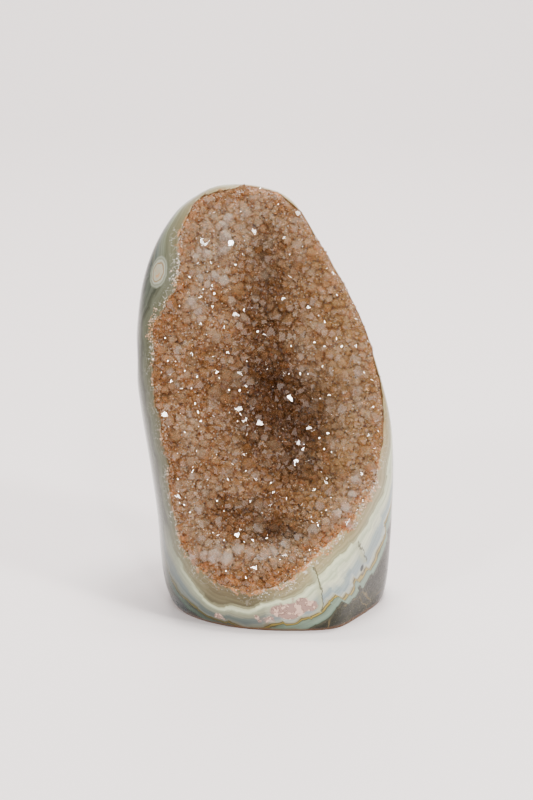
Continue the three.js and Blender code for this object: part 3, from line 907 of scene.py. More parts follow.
@dataclass(frozen=True)
class PolishedRind:
    """The stone's polished outside, its cut base and the wall behind the crystals."""

    form: StoneForm
    slices: int = 330
    stacks: int = 250
    rock_scale: float = 20.0
    fitted_share: float = 0.0245
    front_limit: float = 0.02
    fit_steps: tuple[float, float] = (1 / 150, 1 / 35)
    flow_turn: float = 25.0
    # the painted shade and dark teal on the lower left: the height it fades up to and over, and the distance
    # from the crystals where it starts and grows full, in millimetres
    teal_and_shade_top: float = 30.0
    teal_and_shade_fade: float = 24.0
    teal_and_shade_start: float = 5.0
    teal_and_shade_width: float = 8.0
    crack_reach: float = 3.2
    crack_side_limit: float = 5.0
    wall_shares: tuple[float, ...] = (0.992, 0.975, 0.94, 0.86, 0.7, 0.45, 0.2)
    wall_thickness: float = 5.2
    eye_at: tuple[float, float, float] = (-31.9, -2.8, 104.9)
    eye_size: tuple[float, float] = (3.6, 5.6)
    pink_at: tuple[tuple[float, float, float, float, float], ...] = (
        (6.5, -30.2, 7.5, 7.0, 0.95),
        (11.5, -30.0, 9.0, 6.5, 0.90),
        (1.0, -29.5, 4.5, 5.0, 0.80),
        (-24.0, -16.0, 8.0, 5.0, 0.45),
        (-15.0, -25.0, 3.0, 7.0, 0.55),
    )
    pink_flatness: float = 0.6
    dark_pits: tuple[tuple[float, float, float, float, float], ...] = (
        (-39.3, -2.5, 79.0, 1.6, 4.5),
        (-39.2, -1.5, 68.0, 1.4, 5.0),
        (-28.5, -14.0, 2.5, 4.5, 3.0),
        (29.6, -19.4, 17.0, 0.9, 1.0),
    )
    cracks: tuple[tuple[tuple[float, float], ...], ...] = (
        ((14.4, 21.5), (15.3, 18.9), (16.4, 16.5), (16.8, 12.5), (17.4, 9.7), (17.0, 7.0)),
        ((28.0, 27.0), (29.2, 23.2), (30.6, 18.9)),
    )

    def build(self, shift: np.ndarray) -> bpy.types.Object:
        """Makes the piece, without its finish.

        Args:
            shift: the move into the shared frame, in millimetres.

        Returns:
            The rind as one closed mesh.
        """
        points, faces, in_front = self._outside()
        points, faces, loop = self._opened(points, faces, in_front)
        points, faces = self._walled(points, faces, loop)
        return mesh_object("polished_rind", points, faces, shift, self._marks(points, points[loop]))

    def _outside(self) -> tuple[np.ndarray, np.ndarray, np.ndarray]:
        """The whole outside as a grid.

        Returns:
            The points, the four-sided faces, and for each point whether it lies before the widest place.
        """
        rows = np.linspace(0, 1, self.stacks + 1)[:-1]
        turns = np.linspace(-1.5 * math.pi, 0.5 * math.pi, self.slices, endpoint=False)
        along, angle = np.meshgrid(rows, turns, indexing="ij")
        along, angle = self._fitted(along.ravel(), angle.ravel())
        points = self.form.outside(angle, along)
        i, j = np.meshgrid(np.arange(self.stacks - 1), np.arange(self.slices), indexing="ij")
        k = (j + 1) % self.slices
        low = i * self.slices
        high = low + self.slices
        faces = np.stack([low + j, low + k, high + k, high + j], -1).reshape(-1, 4)
        return points, faces, np.sin(angle) < self.front_limit

    def _share_at(self, along: np.ndarray, angle: np.ndarray) -> np.ndarray:
        """How far out from the face's centre the outside's points lie, as a share of the way."""
        points = self.form.outside(angle, along)
        return self.form.share_out(points[:, 0], points[:, 2])

    def _fitted(self, along: np.ndarray, angle: np.ndarray) -> tuple[np.ndarray, np.ndarray]:
        """Moves the grid points beside the face's edge onto it, along the surface."""
        share = self._share_at(along, angle)
        near = (np.sin(angle) < self.front_limit) & (np.abs(share - 1) < self.fitted_share)
        inside = (share < 1) & (np.sin(angle) < self.front_limit)
        grid = inside.reshape(self.stacks, self.slices)
        beside = np.zeros_like(grid)
        for axis, step in ((0, 1), (0, -1), (1, 1), (1, -1)):
            beside |= np.roll(grid, step, axis) & ~grid
        chosen = np.flatnonzero(beside.ravel() & near)
        u, a = along[chosen], angle[chosen]
        tiny = 1e-4
        u_weight, a_weight = self.fit_steps
        for _ in range(4):
            off = self._share_at(u, a) - 1
            slope_u = (self._share_at(u + tiny, a) - 1 - off) / tiny * u_weight
            slope_a = (self._share_at(u, a + tiny) - 1 - off) / tiny * a_weight
            scale = off / np.maximum(slope_u**2 + slope_a**2, 1e-12)
            u = u - np.clip(scale * slope_u, -2, 2) * u_weight
            a = a - np.clip(scale * slope_a, -2, 2) * a_weight
        along[chosen], angle[chosen] = u, a
        return along, angle

    def _opened(
        self, points: np.ndarray, faces: np.ndarray, in_front: np.ndarray
    ) -> tuple[np.ndarray, list[list[int]], np.ndarray]:
        """Takes the crystal face out of the outside and closes the base and the top.

        Returns:
            The points, the kept faces and the face's edge as a loop of point numbers.
        """
        share = self.form.share_out(points[:, 0], points[:, 2])
        cut = (share[faces] < 1.0005).all(1) & in_front[faces].all(1)
        kept = faces[~cut].tolist()
        edges = set()
        for face in faces[cut].tolist():
            for a, b in zip(face, face[1:] + face[:1]):
                if (b, a) in edges:
                    edges.remove((b, a))
                else:
                    edges.add((a, b))
        after = dict(edges)
        start = next(iter(after))
        loop = [start]
        while after[loop[-1]] != start:
            loop.append(after[loop[-1]])
        base = len(points)
        top = base + 1
        last = (self.stacks - 1) * self.slices
        centre = points[: self.slices].mean(0)
        crown = self.form.outside(np.zeros(1), np.ones(1))
        points = np.vstack([points, centre, crown])
        for j in range(self.slices):
            k = (j + 1) % self.slices
            kept.append([base, k, j])
            kept.append([top, last + j, last + k])
        return points, kept, np.array(loop)

    def _walled(
        self, points: np.ndarray, faces: list[list[int]], loop: np.ndarray
    ) -> tuple[np.ndarray, list[list[int]]]:
        """Adds the wall behind the crystals, from the face's edge to the middle."""
        rim = points[loop]
        centre = np.array(FACE_CENTRE)
        out = rim[:, [0, 2]] - centre
        earlier = loop
        for share in self.wall_shares:
            at = centre + out * share
            y = self.form.hollow_floor(at[:, 0], at[:, 1]) + self.wall_thickness * math.sqrt(1 - share**6)
            ring = np.stack([at[:, 0], np.maximum(y, rim[:, 1]), at[:, 1]], 1)
            start = len(points)
            points = np.vstack([points, ring])
            current = np.arange(start, start + len(loop))
            for j in range(len(loop)):
                k = (j + 1) % len(loop)
                faces.append([int(earlier[j]), int(earlier[k]), int(current[k]), int(current[j])])
            earlier = current
        middle = len(points)
        points = np.vstack([points, points[earlier].mean(0)])
        for j in range(len(loop)):
            k = (j + 1) % len(loop)
            faces.append([int(earlier[j]), int(earlier[k]), middle])
        return points, faces

    def _marks(self, points: np.ndarray, rim: np.ndarray) -> dict[str, np.ndarray]:
        """The named values that the agate finish reads at each point."""
        dense = np.concatenate([rim + (np.roll(rim, -1, 0) - rim) * k / 4 for k in range(4)])
        tree = KDTree(len(dense))
        for i, point in enumerate(dense):
            tree.insert(point, i)
        tree.balance()
        nearest = [tree.find(point)[1:] for point in points]
        index = np.array([n[0] for n in nearest])
        distance = np.array([n[1] for n in nearest])
        angle = np.arctan2(dense[index, 2] - FACE_CENTRE[1], dense[index, 0] - FACE_CENTRE[0])
        mint = MINT_LINE.at(angle)
        contact = CONTACT_LINE.at(angle)
        beyond = 1 + (distance - contact) / self.rock_scale
        outer = np.where(distance < contact, 0.5 + 0.5 * (distance - mint) / (contact - mint), beyond)
        band = np.where(distance < mint, 0.5 * distance / mint, outer)
        flow = np.stack([self.flow_turn * np.cos(angle), self.flow_turn * np.sin(angle), distance], 1)
        low = np.clip((self.teal_and_shade_top - points[:, 2]) / self.teal_and_shade_fade, 0, 1)
        outer_part = np.clip((distance - self.teal_and_shade_start) / self.teal_and_shade_width, 0, 1)
        return {
            "rim": distance,
            "band": band,
            "left_flank": LEFT_FLANK.at(angle),
            "flow": flow,
            "rust": RUST.at(angle),
            "low": LOW_HAZE.at(angle),
            "sugar": SUGAR.at(angle),
            "pink": self._pinkness(points),
            "eye": self._eye_rings(points),
            "pit": self._pit_darkness(points),
            # partly dark teal, partly painted shade: darker towards the base on the lower left, away from the
            # crystals
            "dusk": TEAL_AND_SHADE_SIDE.at(angle) * low * outer_part,
            **self._crack_marks(points),
        }

    def _crack_marks(self, points: np.ndarray) -> dict[str, np.ndarray]:
        """The side-counting distance to the nearest crack, and where along it the crack is open."""
        seen = points[:, [0, 2]]
        nearest = np.full(len(points), 99.0)
        open_share = np.zeros(len(points))
        for crack in self.cracks:
            for start, end in zip(crack, crack[1:]):
                start, along = np.array(start), np.subtract(end, start)
                share = ((seen - start) @ along) / (along @ along)
                off = seen - start - np.clip(share, 0, 1)[:, None] * along
                away = np.hypot(*off.T)
                side = np.where(off @ np.array([-along[1], along[0]]) < 0, 1, -1)
                nearest = np.where(away < np.abs(nearest), away * side, nearest)
                beside = np.exp(-((away / self.crack_reach) ** 2))
                open_share = np.maximum(open_share, np.where(np.abs(share - 0.5) < 0.6, beside, 0))
        in_front = points[:, 1] < 0
        return {
            "crack": np.clip(nearest, -self.crack_side_limit, self.crack_side_limit),
            "cracked": np.where(in_front, np.clip(open_share * 1.6, 0, 1), 0),
        }

    def _pinkness(self, points: np.ndarray) -> np.ndarray:
        """Soft round patches, each given as place, size and strength."""
        value = np.zeros(len(points))
        for x, y, z, size, strength in self.pink_at:
            reach = np.array([size, size, size * self.pink_flatness])
            away = np.linalg.norm((points - np.array([x, y, z])) / reach, axis=1)
            value = np.maximum(value, strength * np.exp(-(away**2)))
        return value

    def _eye_rings(self, points: np.ndarray) -> np.ndarray:
        """How far out in the eye each point lies, 1 at its border and capped beyond it."""
        away = points - np.array(self.eye_at)
        wide, tall = self.eye_size
        return np.minimum(1.5, np.hypot(np.hypot(away[:, 0], away[:, 1]) / wide, away[:, 2] / tall))

    def _pit_darkness(self, points: np.ndarray) -> np.ndarray:
        """Dark natural pits, each given as place, width and height."""
        value = np.zeros(len(points))
        for x, y, z, wide, tall in self.dark_pits:
            away = np.linalg.norm((points - np.array([x, y, z])) / np.array([wide, wide, tall]), axis=1)
            value = np.maximum(value, np.clip(1.6 - away, 0, 1))
        return value


# The crystal lining

@dataclass(frozen=True)
class DruseGround:
    """The ground mass that lines the hollow, with the relief that the crystals sit on."""

    form: StoneForm
    rings: int = 110
    spokes: int = 330
    rim_gap: float = 0.998
    thickness: float = 2.6
    rim_thickness: float = 1.2
    relief: tuple[tuple[float, float], ...] = ((7.0, 0.55), (3.4, 0.45), (1.7, 0.30))
    relief_seed: int = 11
    rise_width: float = 3.0
    calm_width: float = 1.6
    rust_width: float = 7.0
    rim_start: float = -1.7
    rim_reach: float = 4.4
    rim_spokes: int = 720
    rim_noise: tuple[tuple[float, float, int], ...] = ((2.6, 1.0, 41), (1.1, 0.6, 42))
    rim_thinning: float = 0.22
    # where the gold hue with painted light starts on the right, and how far it takes to grow full
    golden_and_lit_from: float = 2.0
    golden_and_lit_width: float = 22.0
    # darker places, partly iron stain and partly painted shade in the deep pools and the centre: across, up,
    # width, height, strength
    stain_and_shade_spots: tuple[tuple[float, float, float, float, float], ...] = (
        (0.0, 108.0, 5.0, 12.0, 0.45),
        (-1.0, 90.0, 7.0, 12.0, 0.55),
        (2.0, 72.0, 12.0, 10.0, 0.85),
        (8.0, 59.0, 10.0, 11.0, 0.85),
        (9.0, 47.0, 9.0, 6.0, 0.65),
        (-4.0, 60.0, 8.0, 8.0, 0.50),
        (-6.0, 36.0, 11.0, 4.0, 0.55),
        (4.0, 30.0, 9.0, 3.5, 0.75),
        (16.0, 62.0, 6.0, 8.0, 0.40),
    )
    # paler places, partly white and milky crystals and partly painted light on the top and right of the
    # hollow: across, up, width, height, strength
    pale_and_lit_spots: tuple[tuple[float, float, float, float, float], ...] = (
        (-16.0, 111.0, 10.0, 9.0, 1.00),
        (6.0, 112.0, 10.0, 9.0, 0.60),
        (-20.0, 96.0, 6.0, 12.0, 0.50),
        (-24.0, 80.0, 5.0, 8.0, 0.50),
        (-5.0, 122.0, 15.0, 5.0, 0.80),
        (13.0, 81.0, 6.0, 6.0, 0.70),
        (6.0, 25.0, 7.0, 3.0, 0.80),
        (14.0, 30.5, 8.0, 4.0, 1.00),
        (24.0, 37.5, 4.0, 5.0, 0.90),
        (28.0, 46.0, 4.0, 6.0, 0.80),
        (-1.0, 21.5, 9.0, 3.5, 0.60),
        (-24.0, 58.0, 4.0, 12.0, 0.45),
        (-22.0, 33.0, 4.0, 8.0, 0.75),
        (-14.0, 26.0, 7.0, 4.0, 0.50),
        (-9.0, 46.0, 8.0, 7.0, 0.35),
        (27.0, 66.0, 5.0, 18.0, 0.55),
    )

    def floor(self, x: np.ndarray, z: np.ndarray) -> np.ndarray:
        """How far back the ground's own surface lies, relief and all."""
        calm = np.clip((1 - self.form.share_out(x, z)) * 14, 0.25, 1)
        bumps = sum(
            height * lattice_noise(x, z, size, self.relief_seed + i)
            for i, (size, height) in enumerate(self.relief)
        )
        angle, inward = self.form.inside(x, z)
        rise = RIM_RISE.at(angle) * np.exp(-inward / self.rise_width)
        return self.form.hollow_floor(x, z) + bumps * calm - rise

    def _front(self) -> tuple[np.ndarray, list[list[int]]]:
        """The ground's front as points and faces, from the middle out."""
        shares = np.linspace(0, 1, self.rings + 1)[1:] ** 0.85
        turns = np.linspace(0, 2 * math.pi, self.spokes, endpoint=False)
        share, turn = (grid.ravel() for grid in np.meshgrid(shares, turns, indexing="ij"))
        x, z = from_centre(turn, self.form.reach_at(turn) * share * self.rim_gap)
        x, z = np.append(x, FACE_CENTRE[0]), np.append(z, FACE_CENTRE[1])
        points = np.stack([x, self.floor(x, z), z], 1)
        middle = len(points) - 1
        faces = []
        for j in range(self.spokes):
            faces.append([middle, j, (j + 1) % self.spokes])
        for i in range(self.rings - 1):
            for j in range(self.spokes):
                k = (j + 1) % self.spokes
                low, high = i * self.spokes, (i + 1) * self.spokes
                faces.append([low + j, high + j, high + k, low + k])
        return points, faces

    def marks(self, points: np.ndarray) -> dict[str, np.ndarray]:
        """Named values: the shade, partly iron stain and partly painted shade in the deep pools; the pale
        places, partly milky crystals and partly painted light on the top and right; the rusty places; the
        gold-hued places, partly their own hue and partly painted light on the right; and how large crystals
        grow.
        """
        x, z = points[:, 0], points[:, 2]
        angle, inward = self.form.inside(x, z)
        return {
            # painted shade with iron stain: low where the pools are deep
            "shade": 1 - self._spots(points, self.stain_and_shade_spots),
            # partly painted light: paler on the top and right
            "pale": self._spots(points, self.pale_and_lit_spots),
            "rust": RUST.at(angle) * np.clip(1 - inward / self.rust_width, 0, 1),
            # partly painted light: a real gold hue that also lightens the right side
            "golden": np.clip((x - self.golden_and_lit_from) / self.golden_and_lit_width, 0, 1),
            "grow": 1 - RIM_CALM.at(angle) * np.exp(-inward / self.calm_width),
        }

    def _spots(self, points: np.ndarray, spots: Sequence[Sequence[float]]) -> np.ndarray:
        """Soft patches, each given as place, size and strength in the front view."""
        left = np.ones(len(points))
        for x, z, wide, tall, amount in spots:
            away = ((points[:, 0] - x) / wide) ** 2 + ((points[:, 2] - z) / tall) ** 2
            left *= 1 - amount * np.exp(-away)
        return 1 - left

    def footing(self, shift: np.ndarray) -> bpy.types.Object:
        """The open front surface that the crystals are strewn over."""
        points, faces = self._front()
        return mesh_object("druse_footing", points, faces, shift, self.marks(points))

    def rim_footing(self, shift: np.ndarray) -> bpy.types.Object:
        """The ragged strip along the face's edge where grains run out into the polished agate."""
        steps_out = np.linspace(self.rim_start, self.rim_reach, 28)
        turns = np.linspace(0, 2 * math.pi, self.rim_spokes, endpoint=False)
        turn, out = (grid.ravel() for grid in np.meshgrid(turns, steps_out, indexing="ij"))
        x, z = from_centre(turn, self.form.reach_at(turn) + out)
        y = np.where(out < -0.1, self.floor(x, z) - 0.1, self.form.front(x, z))
        points = np.stack([x, y, z], 1)
        ragged = sum(height * lattice_noise(x, z, size, seed) for size, height, seed in self.rim_noise)
        grown = np.clip((ragged + 1) / 2, 0, 1) * SUGAR.at(turn)
        kept = out < (grown - self.rim_thinning) * self.rim_reach
        faces = []
        count = len(steps_out)
        for i in range(len(turns)):
            k = (i + 1) % len(turns)
            for j in range(count - 1):
                corners = [i * count + j, i * count + j + 1, k * count + j + 1, k * count + j]
                if all(kept[c] for c in corners):
                    faces.append(corners)
        return mesh_object("rim_footing", points, faces, shift, self.marks(points))

    def build(self, shift: np.ndarray) -> bpy.types.Object:
        """Makes the ground as a closed piece, without its finish."""
        points, faces = self._front()
        count = len(points)
        back = points.copy()
        x, z = points[:, 0], points[:, 2]
        bulge = np.sqrt(1 - np.minimum(1, self.form.share_out(x, z)) ** 6)
        back[:, 1] = self.form.hollow_floor(x, z) + self.rim_thickness + self.thickness * bulge
        outer = (self.rings - 1) * self.spokes
        every = list(faces) + [[count + i for i in reversed(face)] for face in faces]
        for j in range(self.spokes):
            k = (j + 1) % self.spokes
            every.append([outer + k, outer + j, count + outer + j, count + outer + k])
        points = np.vstack([points, back])
        return mesh_object("druse_ground", points, every, shift, self.marks(points))


class CrystalHabit(Enum):
    """How a quartz point ends."""

    EVEN = (0.0, 0.06)
    THREE_SIDED = (0.34, 0.08)
    SKEWED = (0.12, 0.34)


@dataclass(frozen=True)
class QuartzPoint:
    """One six-sided quartz point of unit radius, standing up on the origin."""

    habit: CrystalHabit
    seed: int
    shoulder: float = 0.35
    root: float = 1.1
    slope: float = 52.0

    def build(self, collection: bpy.types.Collection) -> bpy.types.Object:
        """Makes the point by cutting a block with the flank and tip planes."""
        rng = np.random.default_rng(self.seed)
        lift, skew = self.habit.value
        shape = bmesh.new()
        bmesh.ops.create_cube(shape, size=4.0)
        slope = math.radians(self.slope)
        for k in range(6):
            turn = math.radians(60 * k)
            side = Vector((math.cos(turn), math.sin(turn), 0.0))
            self._cut(shape, side * (0.866 * (1 + rng.uniform(-0.14, 0.10))), side)
            tip = Vector((side.x * math.sin(slope), side.y * math.sin(slope), math.cos(slope)))
            height = self.shoulder + lift * (k % 2) + rng.uniform(-skew, skew)
            self._cut(shape, side * 0.866 + Vector((0, 0, height)), tip)
        self._cut(shape, Vector((0, 0, -self.root)), Vector((0, 0, -1)))
        bmesh.ops.triangulate(shape, faces=shape.faces)
        mesh = bpy.data.meshes.new(f"point_{self.habit.name.lower()}_{self.seed}")
        shape.to_mesh(mesh)
        shape.free()
        made = bpy.data.objects.new(mesh.name, mesh)
        collection.objects.link(made)
        return made

    def _cut(self, shape: bmesh.types.BMesh, place: Vector, outward: Vector) -> None:
        """Cuts away what lies beyond a plane and closes the cut with one flat face."""
        cut = bmesh.ops.bisect_plane(
            shape, geom=shape.verts[:] + shape.edges[:] + shape.faces[:],
            plane_co=place, plane_no=outward, clear_outer=True,
        )
        rim = [e for e in cut["geom_cut"] if isinstance(e, bmesh.types.BMEdge)]
        if rim:
            bmesh.ops.contextual_create(shape, geom=rim)
            bmesh.ops.recalc_face_normals(shape, faces=shape.faces)


class StrewnCrystals:
    """The Geometry Nodes tree that strews crystals over a surface."""

    INPUTS = (
        ("Spacing", "NodeSocketFloat"),
        ("Density", "NodeSocketFloat"),
        ("Smallest", "NodeSocketFloat"),
        ("Largest", "NodeSocketFloat"),
        ("Tilt", "NodeSocketFloat"),
        ("Sink", "NodeSocketFloat"),
        ("Seed", "NodeSocketInt"),
        ("Crystals", "NodeSocketCollection"),
        ("Finish", "NodeSocketMaterial"),
    )

    def __init__(self) -> None:
        """Builds the tree."""
        self.tree = bpy.data.node_groups.new("strewn_crystals", "GeometryNodeTree")
        face = self.tree.interface
        face.new_socket("Geometry", in_out="INPUT", socket_type="NodeSocketGeometry")
        self.sockets = {
            name: face.new_socket(name, in_out="INPUT", socket_type=kind).identifier
            for name, kind in self.INPUTS
        }
        face.new_socket("Geometry", in_out="OUTPUT", socket_type="NodeSocketGeometry")
        self._wire()

    def _wire(self) -> None:
        """Adds and links the tree's nodes."""
        nodes, links = self.tree.nodes, self.tree.links
        given = nodes.new("NodeGroupInput").outputs
        strew = nodes.new("GeometryNodeDistributePointsOnFaces")
        strew.distribute_method = "POISSON"
        links.new(given["Geometry"], strew.inputs["Mesh"])
        links.new(given["Spacing"], strew.inputs["Distance Min"])
        links.new(given["Density"], strew.inputs["Density Max"])
        links.new(given["Seed"], strew.inputs["Seed"])
        size = self._random("FLOAT", given["Seed"], 1)
        links.new(given["Smallest"], size.inputs[2])
        links.new(given["Largest"], size.inputs[3])
        lean = nodes.new("ShaderNodeCombineXYZ")
        less = nodes.new("ShaderNodeCombineXYZ")
        flip = nodes.new("ShaderNodeMath")
        flip.operation = "MULTIPLY"
        flip.inputs[1].default_value = -1.0
        links.new(given["Tilt"], flip.inputs[0])
        for axis in range(2):
            links.new(given["Tilt"], lean.inputs[axis])
            links.new(flip.outputs[0], less.inputs[axis])
        lean.inputs[2].default_value = math.tau
        turn = self._random("FLOAT_VECTOR", given["Seed"], 2)
        links.new(less.outputs[0], turn.inputs[0])
        links.new(lean.outputs[0], turn.inputs[1])
        euler = nodes.new("FunctionNodeEulerToRotation")
        links.new(turn.outputs[0], euler.inputs[0])
        rotate = nodes.new("FunctionNodeRotateRotation")
        rotate.rotation_space = "LOCAL"
        links.new(strew.outputs["Rotation"], rotate.inputs["Rotation"])
        links.new(euler.outputs[0], rotate.inputs["Rotate By"])
        shapes = nodes.new("GeometryNodeCollectionInfo")
        shapes.inputs["Separate Children"].default_value = True
        shapes.inputs["Reset Children"].default_value = True
        links.new(given["Crystals"], shapes.inputs["Collection"])
        sink = nodes.new("ShaderNodeVectorMath")
        sink.operation = "SCALE"
        links.new(strew.outputs["Normal"], sink.inputs[0])
        links.new(given["Sink"], sink.inputs["Scale"])
        lower = nodes.new("GeometryNodeSetPosition")
        links.new(strew.outputs["Points"], lower.inputs["Geometry"])
        links.new(sink.outputs[0], lower.inputs["Offset"])
        place = nodes.new("GeometryNodeInstanceOnPoints")
        place.inputs["Pick Instance"].default_value = True
        links.new(lower.outputs[0], place.inputs["Points"])
        links.new(shapes.outputs[0], place.inputs["Instance"])
        links.new(rotate.outputs[0], place.inputs["Rotation"])
        grow = nodes.new("GeometryNodeInputNamedAttribute")
        grow.data_type = "FLOAT"
        grow.inputs["Name"].default_value = "grow"
        grown = nodes.new("ShaderNodeMath")
        grown.operation = "MULTIPLY"
        links.new(size.outputs[1], grown.inputs[0])
        links.new(grow.outputs[0], grown.inputs[1])
        links.new(grown.outputs[0], place.inputs["Scale"])
        tint = nodes.new("GeometryNodeStoreNamedAttribute")
        tint.domain = "INSTANCE"
        tint.inputs["Name"].default_value = "tint"
        shade = self._random("FLOAT", given["Seed"], 3)
        shade.inputs[2].default_value = 0.0
        shade.inputs[3].default_value = 1.0
        links.new(place.outputs[0], tint.inputs["Geometry"])
        links.new(shade.outputs[1], tint.inputs["Value"])
        realize = nodes.new("GeometryNodeRealizeInstances")
        links.new(tint.outputs[0], realize.inputs[0])
        dress = nodes.new("GeometryNodeSetMaterial")
        links.new(realize.outputs[0], dress.inputs["Geometry"])
        links.new(given["Finish"], dress.inputs["Material"])
        links.new(dress.outputs[0], nodes.new("NodeGroupOutput").inputs[0])

    def _random(self, kind: str, seed: Socket, step: int) -> bpy.types.Node:
        """A Random Value node whose seed lies some steps past the given one."""
        made = self.tree.nodes.new("FunctionNodeRandomValue")
        made.data_type = kind
        add = self.tree.nodes.new("ShaderNodeMath")
        add.inputs[1].default_value = 17.0 * step
        self.tree.links.new(seed, add.inputs[0])
        self.tree.links.new(add.outputs[0], made.inputs["Seed"])
        return made

    def strew(self, name: str, footing: bpy.types.Object, values: dict[str, object]) -> bpy.types.Object:
        """Strews crystals over a footing and keeps them as one plain mesh.

        Args:
            name: the new piece's name.
            footing: the object whose surface carries the crystals.
            values: a value for each of INPUTS, by name.

        Returns:
            The crystals as one object at the origin.
        """
        modifier = footing.modifiers.new(name, "NODES")
        modifier.node_group = self.tree
        for key, value in values.items():
            modifier[self.sockets[key]] = value
        bpy.context.view_layer.update()
        graph = bpy.context.evaluated_depsgraph_get()
        mesh = bpy.data.meshes.new_from_object(footing.evaluated_get(graph), depsgraph=graph)
        mesh.name = name
        footing.modifiers.remove(modifier)
        made = bpy.data.objects.new(name, mesh)
        bpy.context.scene.collection.objects.link(made)
        return made


@dataclass(frozen=True)
class CrystalLayer:
    """One size of crystals in the lining, in millimetres."""

    name: str
    spacing: float
    sizes: tuple[float, float]
    tilt: float
    sink: float
    seed: int
    finish: QuartzFinish | DarkPinFinish

    def build(self, strewer: StrewnCrystals, footing: bpy.types.Object, shapes: bpy.types.Collection,
              material: bpy.types.Material) -> bpy.types.Object:
        """Strews the layer over the footing."""
        return strewer.strew(self.name, footing, {
            "Spacing": self.spacing * MM,
            "Density": 4.0 / (self.spacing * MM) ** 2,
            "Smallest": self.sizes[0] * MM,
            "Largest": self.sizes[1] * MM,
            "Tilt": math.radians(self.tilt),
            "Sink": -self.sink * MM,
            "Seed": self.seed,
            "Crystals": shapes,
            "Finish": material,
        })


MILKY = QuartzFinish("milky_quartz", 0.74, 0.045, (0.46, 0.21, 0.076), (0.88, 0.59, 0.34), 700.0, 0.10)
CLEARER = QuartzFinish("clearer_quartz", 0.80, 0.03, (0.60, 0.30, 0.11), (0.92, 0.67, 0.42), 600.0, 0.05)
CLEAREST = QuartzFinish("clearest_quartz", 0.85, 0.02, (0.74, 0.43, 0.19), (0.95, 0.75, 0.53), 500.0, 0.0)
SUGARY = QuartzFinish("sugary_quartz", 0.50, 0.12, (0.74, 0.54, 0.36), (0.92, 0.84, 0.72), 120.0, 0.0)
DUSTY = QuartzFinish("clear_dust", 0.60, 0.03, (0.84, 0.60, 0.38), (0.96, 0.86, 0.72), 150.0, 0.0)
SHOWY = QuartzFinish(
    "show_quartz", 0.78, 0.02, (0.78, 0.54, 0.34), (0.95, 0.80, 0.64), 350.0, 0.0, specular=0.5)

LAYERS = (
    CrystalLayer("small_crystals", 1.05, (0.50, 1.05), 32, 0.12, 3, MILKY),
    CrystalLayer("middle_crystals", 2.0, (1.0, 1.8), 28, 0.38, 5, CLEARER),
    CrystalLayer("large_crystals", 4.0, (1.5, 2.5), 24, 0.70, 8, CLEAREST),
)
RIM_LAYER = CrystalLayer("rim_grains", 0.62, (0.18, 0.48), 38, 0.08, 21, SUGARY)
DUST_LAYER = CrystalLayer("quartz_dust", 0.95, (0.12, 0.30), 80, 0.0, 33, DUSTY)
PIN_LAYER = CrystalLayer("dark_grains", 1.05, (0.13, 0.30), 60, 0.0, 13, DarkPinFinish())


@dataclass(frozen=True)
class Glint:
    """Where the camera and the sparkle light stand, in millimetres."""

    camera: Vector
    light: Vector

    def half_way(self, place: Vector) -> Vector:
        """The direction a facet at a place faces when it mirrors the light into the camera."""
        return ((self.camera - place).normalized() + (self.light - place).normalized()).normalized()


